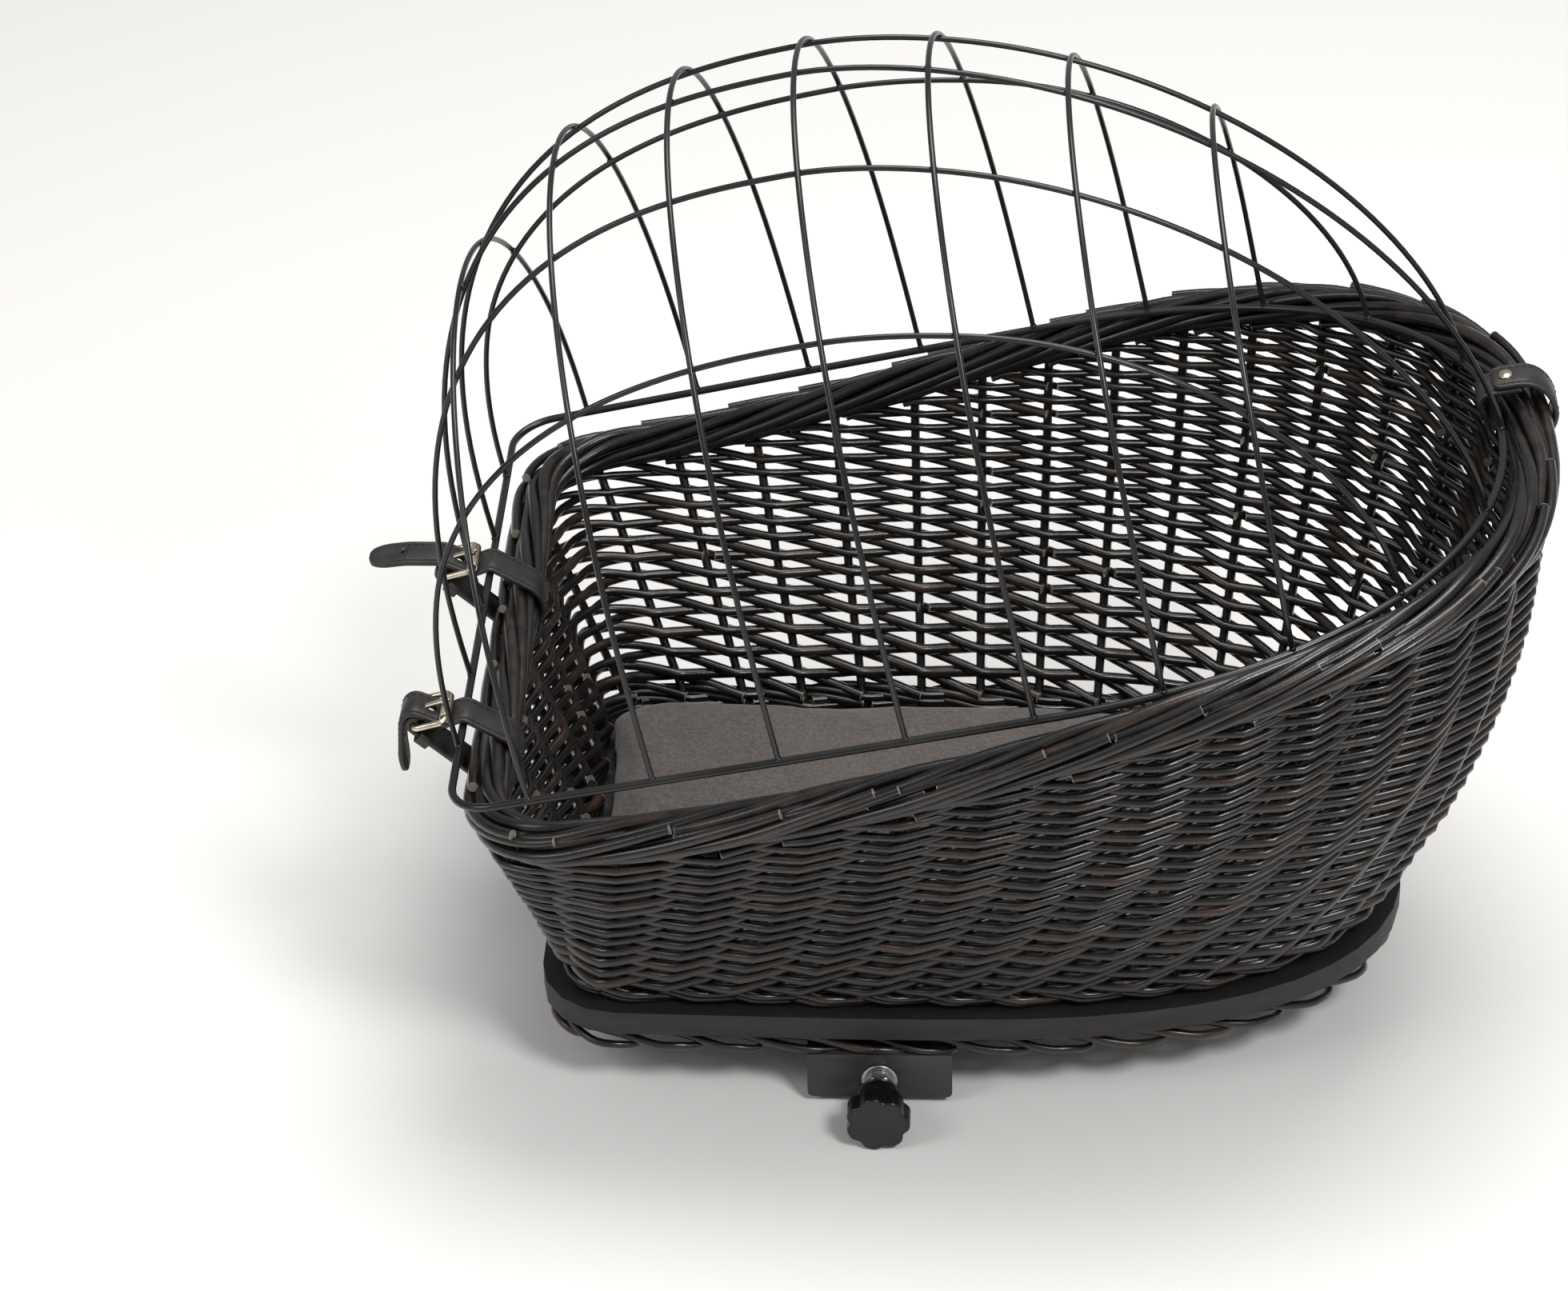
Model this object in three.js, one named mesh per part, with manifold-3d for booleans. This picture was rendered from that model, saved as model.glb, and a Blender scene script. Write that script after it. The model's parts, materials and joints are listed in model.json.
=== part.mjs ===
// Dog bicycle basket: a willow basket on a plywood board, with a domed wire cage
// that is hinged by a leather strap at the rear and buckled down by two at the front.
// A steel channel under the board clamps it on a luggage rack.
// Millimetres. +Z is up, -X is the low front, -Y is the left side.
// The origin is the middle of the channel's underside, where the rack lies.
import * as THREE from "three";
import { mergeVertices } from "three/addons/utils/BufferGeometryUtils.js";
import Module from "manifold-3d";

const wasm = await Module();
wasm.setup();

// Clearances that several pieces share.
const clear = {
  touch: 0.3,
  running: 0.5,
  overrun: 5,
};

// Channel that clamps on the rack, and the block that packs it down from the board.
const channel = {
  length: 72,
  height: 26.5,
  thickness: 2.5,
  cornerRadius: 3,
  studDrop: 12,
  sideInset: 3.5,
};
const packing = {
  endInset: 5,
  footGap: 3.5,
  thickness: 12,
};

// Plan outlines: front and rear are distances from the origin along X. The sides bow out
// from the front's half width by their bow.
const board = {
  front: 169,
  rear: 264,
  frontHalfWidth: 139,
  sideBow: 2.5,
  cornerRadius: 40,
  rearCentre: 20,
  rearExponent: 2.5,
  thickness: 13,
};
board.halfWidth = board.frontHalfWidth + board.sideBow;
channel.width = 2 * (board.halfWidth - channel.sideInset);
const rim = {
  front: 187,
  rear: 315,
  frontHalfWidth: 179,
  sideBow: 10,
  cornerRadius: 45,
  rearCentre: 60,
  rearExponent: 2.5,
  frontHeight: 156,
  rearHeight: 274.5,
  radius: 11.5,
  lobeDepth: 1.2,
};
rim.halfWidth = rim.frontHalfWidth + rim.sideBow;
const rimSweepShare = 0.7;
const rimLobes = 3;
const rimTwists = 9;

// Woven wall, its stakes and the looped border under the board.
const wall = {
  thickness: 9,
  boardMargin: 12,
};
const wallRearBulgeShare = 1;
const stake = {
  radius: 2.4,
  rootDepth: 3,
};
const stakeCount = 37;
const foot = {
  radius: 5.6,
  inset: 12,
  wave: 2.4,
};
const footWaves = 19;
packing.length = channel.length - 2 * packing.endInset;
packing.width = 2 * (board.halfWidth - foot.inset - foot.radius - foot.wave - packing.footGap);

// Cushion on the board.
const cushion = {
  wallGap: 3,
  edgeHeight: 20,
  crown: 7,
  drawIn: 4,
};

// Cage: a flat frame that leans up to the rear, with the dome above it.
const frameFit = {
  frontOverhang: 17.5,
  rearInset: 9,
  sideInset: 3.5,
  sideBow: 3,
  rearCentreShift: 20,
  frontGap: 5.68,
  rearRise: 6.82,
};
const frame = {
  front: rim.front + frameFit.frontOverhang,
  rear: rim.rear - frameFit.rearInset,
  frontHalfWidth: rim.frontHalfWidth - frameFit.sideInset,
  cornerRadius: 22,
  rearCentre: rim.rearCentre + frameFit.rearCentreShift,
  rearExponent: 2.2,
  wireRadius: 2,
};
frame.halfWidth = frame.frontHalfWidth + frameFit.sideBow;
const frameFrontLevel = rim.frontHeight + rim.radius + frameFit.frontGap + frame.wireRadius;
const frameRearLevel = rim.rearHeight + frameFit.rearRise;
const frameSlope = (frameRearLevel - frameFrontLevel) / (frame.front + frame.rear);
const frameLean = Math.asin(frameSlope);
frame.height = frameFrontLevel + frame.front * frameSlope;
const dome = {
  peak: 15,
  height: 258,
  wireRadius: 1.25,
  slopeStep: 0.5,
};
const domeFrontExponent = 2.55;
const domeRearExponent = 1.7;
const hoopPlaces = {
  first: -165,
  pitch: 60.3,
};
const hoopCount = 7;
const hoopLiftRate = 2;
const innerFrontShare = 0.3533;
const innerRearShare = 0.3866;
const outerFrontShare = 0.6952;
const outerRearShare = 0.7115;
const longWire = {
  innerFront: innerFrontShare * frame.frontHalfWidth,
  innerRear: innerRearShare * frame.halfWidth,
  outerFront: outerFrontShare * frame.frontHalfWidth,
  outerRear: outerRearShare * frame.halfWidth,
};

// Leather straps.
const strap = {
  width: 20,
  thickness: 2.6,
  slotWidth: 5,
  keeperWidth: 7,
  keeperThickness: 1.8,
  rightPlace: 38,
  leftPlace: -95,
  tongue: 38,
};
const tongueLevelShare = 0.5;
const tongueDropShare = 0.5;
const tongueLowShare = 0.8;
const keeperPlaceShare = 1.2;
const strapAngles = {
  foldStart: Math.PI * 0.3,
  wireEnd: Math.PI * 0.6,
  shoulderStart: Math.PI * 0.6,
  shoulderEnd: Math.PI * 0.9,
};
const buckle = {
  wireRadius: 1.6,
  length: 15,
  wireGap: 8.5,
  rollerRise: 5.2,
  barDrop: 4.4,
  rollerRadius: 2.9,
  sideGap: 1,
  prongWidth: 3.2,
  prongThickness: 1.6,
};
const buckleCornerShare = 1.5;
const prongNeckShare = 0.75;
const prongEyeShare = 0.4;
const rearStrap = {
  place: 35,
  width: 20,
  thickness: 2.6,
  clearance: 2.3,
  lap: 13,
  rivetRadius: 4,
  rivetShank: 1.8,
  rivetHead: 1.6,
};

const rivetTailShare = 0.8;
const rivetShoulderShare = 0.6;
const rivetCrownShare = 0.4;

// Bolts through board, packing block and channel.
const bolt = {
  radius: 3,
  headRadius: 6,
  headHeight: 2.6,
  endInset: 5,
  sideInset: 12,
  washerRadius: 6.2,
  washerThickness: 1.4,
  nutAcross: 10,
  nutHeight: 5,
  end: 2,
};

bolt.placeX = packing.length / 2 - bolt.endInset;
bolt.placeY = packing.width / 2 - bolt.sideInset;

// Star knob, threaded stud and jaw on each side.
const stud = {
  radius: 4,
};
const clamp = {
  washerRadius: 9,
  washerThickness: 1.6,
  nutAcross: 13,
  nutHeight: 6.5,
  knobGap: 4,
  hubRadius: 10.5,
  hubHeight: 12,
  discRadius: 16,
  discHeight: 12,
  discBevel: 1.4,
  boreDepth: 15,
  jawPlace: 78,
  jawWidth: 34,
  jawThickness: 4,
  jawHeight: 22,
  lipReach: 9,
  lipThickness: 3,
  jawGap: 0.8,
  studNose: 3,
};
const knobLobes = 7;
const knobLobeDepthShare = 0.12;

// Levels worked out from the sizes above.
const packingBottom = channel.thickness + clear.touch;
const boardBottom = packingBottom + packing.thickness + clear.touch;
const boardTop = boardBottom + board.thickness;
const wallBottom = boardTop + clear.touch;

// Finishes, as seen on the real pieces.
const finish = (color, roughness, metalness) => ({ color, roughness, metalness });
const finishes = {
  willow: finish(0x2a2423, 0.45, 0),
  board: finish(0x1d1c1c, 0.6, 0),
  suede: finish(0x5b5754, 0.95, 0),
  cage: finish(0x121212, 0.3, 0.2),
  leather: finish(0x1b1817, 0.5, 0),
  nickel: finish(0xc9c4b4, 0.25, 1),
  channel: finish(0x3f3f40, 0.45, 0.6),
  zinc: finish(0xb9bcbe, 0.35, 1),
  knob: finish(0x101010, 0.35, 0),
};

const basket = new THREE.Group();
const cage = new THREE.Group();
cage.position.set(0, 0, frame.height);
cage.rotation.y = -frameLean;
basket.add(cage);

function addPiece(name, geometry, look, group = basket) {
  const piece = new THREE.Mesh(geometry, new THREE.MeshStandardMaterial(look));
  piece.name = name;
  group.add(piece);
  return piece;
}

// Solids for cutting and joining.
function solidOf(geometry) {
  const bare = geometry.index ? geometry.toNonIndexed() : geometry.clone();
  bare.deleteAttribute("normal");
  bare.deleteAttribute("uv");
  const merged = mergeVertices(bare, 1e-4);
  return new wasm.Manifold(
    new wasm.Mesh({
      numProp: 3,
      vertProperties: merged.attributes.position.array,
      triVerts: new Uint32Array(merged.index.array),
    }),
  );
}

function geometryOf(solid) {
  const found = solid.getMesh();
  const geometry = new THREE.BufferGeometry();
  geometry.setAttribute("position", new THREE.BufferAttribute(found.vertProperties, 3));
  geometry.setIndex(new THREE.BufferAttribute(found.triVerts, 1));
  geometry.computeVertexNormals();
  return geometry;
}

function cut(geometry, ...tools) {
  return geometryOf(tools.reduce((left, tool) => left.subtract(solidOf(tool)), solidOf(geometry)));
}

function join(...geometries) {
  return geometryOf(geometries.map(solidOf).reduce((whole, next) => whole.add(next)));
}

// Rings of points skinned into one closed surface, either end to end or with flat ends.
function skin(rings, closed) {
  const around = rings[0].length;
  const positions = rings.flat().flatMap((point) => point.toArray());
  const faces = [];
  const last = closed ? rings.length : rings.length - 1;
  for (let i = 0; i < last; i++) {
    const here = i * around;
    const there = ((i + 1) % rings.length) * around;
    for (let j = 0; j < around; j++) {
      const k = (j + 1) % around;
      faces.push(here + j, here + k, there + k);
      faces.push(here + j, there + k, there + j);
    }
  }
  if (!closed) {
    const end = (rings.length - 1) * around;
    for (let j = 1; j < around - 1; j++) {
      faces.push(0, j + 1, j);
      faces.push(end, end + j, end + j + 1);
    }
  }
  const geometry = new THREE.BufferGeometry();
  geometry.setAttribute("position", new THREE.Float32BufferAttribute(positions, 3));
  geometry.setIndex(faces);
  geometry.computeVertexNormals();
  return geometry;
}

// A section carried along a path. Its x lies along the reference, square to the path.
function sweep(path, reference, section, closed = false) {
  const count = path.length;
  const rings = path.map((point, i) => {
    const before = closed ? path[(i + count - 1) % count] : path[Math.max(i - 1, 0)];
    const after = closed ? path[(i + 1) % count] : path[Math.min(i + 1, count - 1)];
    const along = after.clone().sub(before).normalize();
    const side = reference.clone().addScaledVector(along, -reference.dot(along)).normalize();
    const up = along.clone().cross(side);
    return section(i / count).map((spot) =>
      point.clone().addScaledVector(side, spot.x).addScaledVector(up, spot.y),
    );
  });
  return skin(rings, closed);
}

function roundSection(radius, sides) {
  const spots = [];
  for (let i = 0; i < sides; i++) {
    const angle = (2 * Math.PI * i) / sides;
    spots.push(new THREE.Vector2(radius * Math.cos(angle), radius * Math.sin(angle)));
  }
  return () => spots;
}

function flatSection(width, thickness) {
  const spots = [
    new THREE.Vector2(width / 2, thickness / 2),
    new THREE.Vector2(-width / 2, thickness / 2),
    new THREE.Vector2(-width / 2, -thickness / 2),
    new THREE.Vector2(width / 2, -thickness / 2),
  ];
  return () => spots;
}

const axisX = new THREE.Vector3(1, 0, 0);
const axisY = new THREE.Vector3(0, 1, 0);
const axisZ = new THREE.Vector3(0, 0, 1);
const smooth = (t) => t * t * (3 - 2 * t);
const power = (base, exponent) => Math.pow(Math.max(base, 0), exponent);

// Plan outlines: a straight front, rounded corners, bowed sides and a rounded rear.
const planSteps = { front: 3, corner: 4, side: 7, rear: 12 };

function planSide(plan, x) {
  const start = -plan.front + plan.cornerRadius;
  if (x >= plan.rearCentre) {
    const reach = (x - plan.rearCentre) / (plan.rear - plan.rearCentre);
    return plan.halfWidth * power(1 - power(reach, plan.rearExponent), 1 / plan.rearExponent);
  }
  const t = Math.max(x - start, 0) / (plan.rearCentre - start);
  const bow = Math.sin((t * Math.PI) / 2);
  const straight = plan.frontHalfWidth + (plan.halfWidth - plan.frontHalfWidth) * bow;
  const inCorner = Math.max(start - x, 0) / plan.cornerRadius;
  return straight - plan.cornerRadius * (1 - Math.sqrt(Math.max(1 - inCorner * inCorner, 0)));
}

// Where a plan's rounded rear is along X, at a place across it.
function rearPlace(plan, y) {
  const share = power(Math.abs(y) / plan.halfWidth, plan.rearExponent);
  return plan.rearCentre + (plan.rear - plan.rearCentre) * power(1 - share, 1 / plan.rearExponent);
}

function planLoop(plan, steps = planSteps) {
  const half = [];
  const cornerX = -plan.front + plan.cornerRadius;
  const cornerY = plan.frontHalfWidth - plan.cornerRadius;
  for (let i = 0; i < steps.front; i++) {
    half.push(new THREE.Vector2(-plan.front, (cornerY * i) / steps.front));
  }
  for (let i = 0; i < steps.corner; i++) {
    const angle = (Math.PI / 2) * (i / steps.corner);
    const x = cornerX - plan.cornerRadius * Math.cos(angle);
    half.push(new THREE.Vector2(x, cornerY + plan.cornerRadius * Math.sin(angle)));
  }
  for (let i = 0; i < steps.side; i++) {
    const x = cornerX + ((plan.rearCentre - cornerX) * i) / steps.side;
    half.push(new THREE.Vector2(x, planSide(plan, x)));
  }
  for (let i = 0; i < steps.rear; i++) {
    const angle = (Math.PI / 2) * (i / steps.rear);
    const reach = power(Math.sin(angle), 2 / plan.rearExponent);
    const y = plan.halfWidth * power(Math.cos(angle), 2 / plan.rearExponent);
    half.push(new THREE.Vector2(plan.rearCentre + (plan.rear - plan.rearCentre) * reach, y));
  }
  const left = half.map((point) => new THREE.Vector2(point.x, -point.y));
  const right = half.slice(1).reverse();
  return [...left, new THREE.Vector2(plan.rear, 0), ...right];
}

function inset(plan, distance) {
  return {
    ...plan,
    front: plan.front - distance,
    rear: plan.rear - distance,
    frontHalfWidth: plan.frontHalfWidth - distance,
    halfWidth: plan.halfWidth - distance,
    cornerRadius: Math.max(plan.cornerRadius - distance, clear.touch),
  };
}

// Unit vectors in plan that point out of a loop, one at each of its points.
function outwards(loop) {
  return loop.map((point, i) => {
    const before = loop[(i + loop.length - 1) % loop.length];
    const after = loop[(i + 1) % loop.length];
    const along = after.clone().sub(before).normalize();
    return new THREE.Vector2(along.y, -along.x);
  });
}

// Points at equal steps round a closed loop in plan.
function evenly(loop, count) {
  const lengths = loop.map((point, i) => point.distanceTo(loop[(i + 1) % loop.length]));
  const total = lengths.reduce((sum, length) => sum + length);
  const spots = [];
  let edge = 0;
  let walked = 0;
  for (let i = 0; i < count; i++) {
    const goal = (total * i) / count;
    while (walked + lengths[edge] < goal) {
      walked += lengths[edge];
      edge += 1;
    }
    const share = (goal - walked) / lengths[edge];
    spots.push(loop[edge].clone().lerp(loop[(edge + 1) % loop.length], share));
  }
  return spots;
}

function rimHeight(x) {
  const t = (x + rim.front) / (rim.rear + rim.front);
  const rise = rimSweepShare * smooth(t) + (1 - rimSweepShare) * t;
  return rim.frontHeight + (rim.rearHeight - rim.frontHeight) * rise;
}

// A round bar standing along Z from one level to another.
function bar(radius, low, high, sides, x = 0, y = 0) {
  const geometry = plate(roundSection(radius, sides)(), [], low, high);
  geometry.translate(x, y, 0);
  return geometry;
}

// A flat ring standing along Z.
function ring(inner, outer, low, high, sides) {
  const profile = [
    new THREE.Vector2(inner, low),
    new THREE.Vector2(outer, low),
    new THREE.Vector2(outer, high),
    new THREE.Vector2(inner, high),
    new THREE.Vector2(inner, low),
  ];
  const geometry = new THREE.LatheGeometry(profile, sides);
  geometry.rotateX(Math.PI / 2);
  return geometry;
}

// A plate with holes, standing along Z.
function plate(outline, holes, low, high) {
  const shape = new THREE.Shape(outline);
  shape.holes = holes;
  const depth = high - low;
  const geometry = new THREE.ExtrudeGeometry(shape, { depth, bevelEnabled: false });
  geometry.translate(0, 0, low);
  return geometry;
}

function roundHole(x, y, radius, sides) {
  const spots = roundSection(radius, sides)().map((spot) => spot.clone().add({ x, y }));
  return new THREE.Path([...spots, spots[0].clone()]);
}

function box(low, high) {
  const geometry = new THREE.BoxGeometry(high.x - low.x, high.y - low.y, high.z - low.z);
  geometry.translate((low.x + high.x) / 2, (low.y + high.y) / 2, (low.z + high.z) / 2);
  return geometry;
}

const corners = [
  [-1, -1],
  [1, -1],
  [1, 1],
  [-1, 1],
];
const sides = [
  { name: "left", sign: -1 },
  { name: "right", sign: 1 },
];

// Board, with holes for the stakes and counterbored holes for the bolts.
const wallPlan = inset(board, wall.boardMargin + wall.thickness / 2);
const stakeSpots = evenly(planLoop(wallPlan), stakeCount);

function makeBoard() {
  const stakeHoles = stakeSpots.map((spot) =>
    roundHole(spot.x, spot.y, stake.radius + clear.touch, 6),
  );
  const shankHoles = corners.map(([x, y]) =>
    roundHole(x * bolt.placeX, y * bolt.placeY, bolt.radius + clear.touch, 10),
  );
  const headHoles = corners.map(([x, y]) =>
    roundHole(x * bolt.placeX, y * bolt.placeY, bolt.headRadius + clear.running, 10),
  );
  const seat = boardTop - bolt.headHeight - clear.running;
  const outline = planLoop(board);
  const lower = plate(outline, [...stakeHoles, ...shankHoles], boardBottom, seat);
  const upper = plate(outline, [...stakeHoles, ...headHoles], seat, boardTop);
  return join(lower, upper);
}

// Wall: a curved woven shell, its stake ends passing down into the board.
function wallTop(spot, out) {
  const step = rim.radius;
  const slope = (rimHeight(spot.x + step) - rimHeight(spot.x - step)) / (2 * step);
  return rimHeight(spot.x) - rim.radius * Math.hypot(1, slope * out.y) - clear.running;
}

function wallRings(levels) {
  const low = planLoop(wallPlan);
  const high = planLoop(rim);
  const out = outwards(high);
  return low.map((base, i) => {
    const head = high[i];
    const top = wallTop(head, out[i]);
    const rearward = smooth((head.x + rim.front) / (rim.rear + rim.front));
    const bulge = wallRearBulgeShare * rearward;
    const spots = [];
    for (let level = 0; level <= levels; level++) {
      const t = level / levels;
      const middle = base.clone().lerp(head, t + bulge * t * (1 - t));
      spots.push({ middle, height: wallBottom + (top - wallBottom) * t });
    }
    const face = (reach) =>
      spots.map(
        ({ middle, height }) =>
          new THREE.Vector3(middle.x + out[i].x * reach, middle.y + out[i].y * reach, height),
      );
    return [...face(-wall.thickness / 2), ...face(wall.thickness / 2).reverse()];
  });
}

function makeWall(slots) {
  const shell = skin(wallRings(5), true);
  const feet = stakeSpots.map((spot) =>
    bar(stake.radius, boardBottom, wallBottom + stake.rootDepth, 6, spot.x, spot.y),
  );
  return cut(join(shell, ...feet), ...slots);
}

// Thick border of twisted rods on the rim.
function makeTopBorder() {
  const spots = 10;
  const path = planLoop(rim, { front: 5, corner: 5, side: 9, rear: 16 }).map(
    (point) => new THREE.Vector3(point.x, point.y, rimHeight(point.x)),
  );
  const section = (share) => {
    const found = [];
    for (let i = 0; i < spots; i++) {
      const angle = (2 * Math.PI * i) / spots;
      const wave = 1 - Math.cos(rimLobes * angle - 2 * Math.PI * rimTwists * share);
      const radius = rim.radius - (rim.lobeDepth * wave) / 2;
      found.push(new THREE.Vector2(radius * Math.cos(angle), radius * Math.sin(angle)));
    }
    return found;
  };
  return sweep(path, axisZ, section, true);
}

// Loops of willow rod under the board's edge.
function makeFootBorder() {
  const middle = (channel.thickness + boardBottom) / 2;
  const loop = evenly(planLoop(inset(board, foot.inset)), footWaves * 4);
  const out = outwards(loop);
  const path = loop.map((point, i) => {
    const wave = foot.wave * Math.cos((2 * Math.PI * footWaves * i) / loop.length);
    const spot = point.clone().addScaledVector(out[i], wave);
    return new THREE.Vector3(spot.x, spot.y, middle);
  });
  return sweep(path, axisZ, roundSection(foot.radius, 6), true);
}

// Cushion: a crown on top, and sides that draw in between the corners.
const cushionLevelShares = [
  { reach: 0.04, height: 0 },
  { reach: 0.5, height: 0 },
  { reach: 0.93, height: 0.01 },
  { reach: 0.985, height: 0.12 },
  { reach: 1, height: 0.34 },
  { reach: 0.995, height: 0.62 },
  { reach: 0.97, height: 0.86 },
  { reach: 0.91, height: 1 },
  { reach: 0.74, height: 1 },
  { reach: 0.5, height: 1 },
  { reach: 0.24, height: 1 },
  { reach: 0.04, height: 1 },
];

function makeCushion() {
  const insetBy = wall.boardMargin + wall.thickness + cushion.wallGap;
  const plan = inset(board, insetBy);
  const loop = planLoop(plan, { front: 4, corner: 3, side: 6, rear: 9 });
  const out = outwards(loop);
  const middle = (plan.rear - plan.front) / 2;
  const corner = plan.frontHalfWidth - plan.cornerRadius;
  const drawn = loop.map((point, i) => {
    const acrossFront = Math.cos((point.y / corner) * (Math.PI / 2)) * Math.max(-out[i].x, 0);
    const alongSide = Math.cos(((point.x - middle) / plan.rear) * (Math.PI / 2)) * Math.abs(out[i].y);
    const pull = cushion.drawIn * Math.max(acrossFront, alongSide, 0);
    return point.clone().addScaledVector(out[i], -pull);
  });
  const rings = cushionLevelShares.map(({ reach, height }) =>
    drawn.map((point) => {
      const crown = height === 1 ? cushion.crown * (1 - reach * reach) : 0;
      const z = boardTop + clear.touch + cushion.edgeHeight * height + crown;
      return new THREE.Vector3(middle + (point.x - middle) * reach, point.y * reach, z);
    }),
  );
  return skin(rings, false);
}

// Dome of the cage, in the frame's own plane: x to the rear, y across, z out of the frame.
function domeProfile(x) {
  const forward = x < dome.peak;
  const span = forward ? dome.peak + frame.front : frame.rear - dome.peak;
  const exponent = forward ? domeFrontExponent : domeRearExponent;
  const reach = Math.abs(x - dome.peak) / span;
  return dome.height * power(1 - power(reach, exponent), 1 / exponent);
}

function domeHeight(x, y) {
  const share = y / planSide(frame, x);
  return domeProfile(x) * Math.sqrt(Math.max(1 - share * share, 0));
}

function domeNormal(x, y) {
  const step = dome.slopeStep;
  const rise = domeHeight(x + step, y) - domeHeight(x - step, y);
  const fall = domeHeight(x, y + step) - domeHeight(x, y - step);
  return new THREE.Vector3(-rise, -fall, 2 * step).normalize();
}

const wireEnd = frame.wireRadius + clear.touch;

function makeFrameWire() {
  const path = planLoop(frame, { front: 1, corner: 4, side: 6, rear: 16 }).map(
    (point) => new THREE.Vector3(point.x, point.y, 0),
  );
  return sweep(path, axisZ, roundSection(frame.wireRadius, 6), true);
}

// A hoop lies across the dome, just outside the long wires.
function makeHoop(place) {
  const steps = 24;
  const lift = 2 * dome.wireRadius + clear.running;
  const halfWidth = planSide(frame, place);
  const path = [];
  for (let i = 0; i <= steps; i++) {
    const angle = (Math.PI * i) / steps;
    const y = -halfWidth * Math.cos(angle);
    const z = domeProfile(place) * Math.sin(angle);
    const spot = new THREE.Vector3(place, y, Math.max(z, wireEnd));
    const blend = smooth(Math.min(Math.sin(angle) * hoopLiftRate, 1));
    if (i > 0 && i < steps) spot.addScaledVector(domeNormal(place, y), lift * blend);
    path.push(spot);
  }
  return sweep(path, axisX, roundSection(dome.wireRadius, 6));
}

function makeLongWire(frontY, rearY) {
  const steps = 24;
  const rear = rearPlace(frame, rearY);
  const path = [];
  for (let i = 0; i <= steps; i++) {
    const t = (1 - Math.cos((Math.PI * i) / steps)) / 2;
    const x = -frame.front + (rear + frame.front) * t;
    const y = frontY + (rearY - frontY) * t;
    const ends = i === 0 || i === steps;
    path.push(new THREE.Vector3(x, y, ends ? wireEnd : Math.max(domeHeight(x, y), wireEnd)));
  }
  return sweep(path, axisY, roundSection(dome.wireRadius, 6));
}

// Points along an arc in the XZ plane, from one angle to another.
function arc(centre, radius, from, to, steps) {
  const points = [];
  for (let i = 0; i <= steps; i++) {
    const angle = from + ((to - from) * i) / steps;
    const x = centre.x + radius * Math.cos(angle);
    points.push(new THREE.Vector2(x, centre.y + radius * Math.sin(angle)));
  }
  return points;
}

// Angle at which a belt round two wheels leaves them, on the left of the line between them.
function tangentAngle(from, fromRadius, to, toRadius, side) {
  const line = to.clone().sub(from);
  return line.angle() + side * Math.acos((fromRadius - toRadius) / line.length());
}

function across(point, y) {
  return new THREE.Vector3(point.x, y, point.y);
}

// A place on the cage's frame wire, in the basket's own frame, seen from the side.
function framePlace(x) {
  const lean = new THREE.Vector2(Math.cos(frameLean), Math.sin(frameLean)).multiplyScalar(x);
  return lean.add(new THREE.Vector2(0, frame.height));
}

const frontWire = framePlace(-frame.front);
const rearWire = framePlace(rearPlace(frame, rearStrap.place));
const frontRim = new THREE.Vector2(-rim.front, rim.frontHeight);
const rollerSpot = frontWire.clone().add({ x: -buckle.wireGap, y: buckle.rollerRise });
const barSpot = rollerSpot.clone().add({ x: -buckle.length, y: -buckle.barDrop });
const halfStrap = strap.thickness / 2;
const foldRadius = buckle.wireRadius + clear.running + halfStrap;
const tongueRise = foldRadius + strap.thickness + clear.running;

// A front strap runs from its fold on the buckle's bar, under the rim, up over the cage's
// wire, under the roller and out over the bar as a tongue.
function frontStrapPath(hangs) {
  const rimRadius = rim.radius + clear.running + halfStrap;
  const wireRadius = frame.wireRadius + clear.running + halfStrap;
  const leave = tangentAngle(frontRim, rimRadius, barSpot, foldRadius, 1);
  const meet = tangentAngle(frontRim, rimRadius, frontWire, wireRadius, -1);
  const over = barSpot.clone().add({ x: 0, y: tongueRise });
  const under = rollerSpot.clone().add({ x: 0, y: -buckle.rollerRadius - clear.running - halfStrap });
  const level = new THREE.Vector2(over.x - strap.tongue * tongueLevelShare, over.y);
  const tip = new THREE.Vector2(over.x - strap.tongue, over.y - strap.thickness);
  const bend = new THREE.Vector2(barSpot.x - tongueRise, barSpot.y);
  const drop = new THREE.Vector2(bend.x - strap.thickness / 2, bend.y - strap.tongue * tongueDropShare);
  const low = new THREE.Vector2(bend.x, bend.y - strap.tongue * tongueLowShare);
  const shoulder = arc(barSpot, tongueRise, strapAngles.shoulderStart, strapAngles.shoulderEnd, 3);
  const tongue = hangs ? [...shoulder, bend, drop, low] : [level, tip];
  return [
    ...arc(barSpot, foldRadius, strapAngles.foldStart, leave, 6),
    ...arc(frontRim, rimRadius, leave, meet + 2 * Math.PI, 12),
    ...arc(frontWire, wireRadius, meet, strapAngles.wireEnd, 3),
    under,
    over,
    ...tongue,
  ];
}

function makeFrontStrap(y, hangs) {
  const path = frontStrapPath(hangs).map((point) => across(point, y));
  const band = sweep(path, axisY, flatSection(strap.width, strap.thickness));
  const half = strap.slotWidth / 2;
  const ringReach = foldRadius + halfStrap + clear.touch / 2;
  const slot = box(
    { x: barSpot.x - ringReach, y: y - half, z: barSpot.y - ringReach },
    { x: barSpot.x + ringReach, y: y + half, z: barSpot.y + ringReach },
  );
  const hole = box(
    { x: barSpot.x + buckle.rollerRadius, y: y - half, z: barSpot.y + ringReach / 2 },
    { x: rollerSpot.x - buckle.rollerRadius, y: y + half, z: barSpot.y + 2 * ringReach },
  );
  return cut(band, slot, hole);
}

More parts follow.
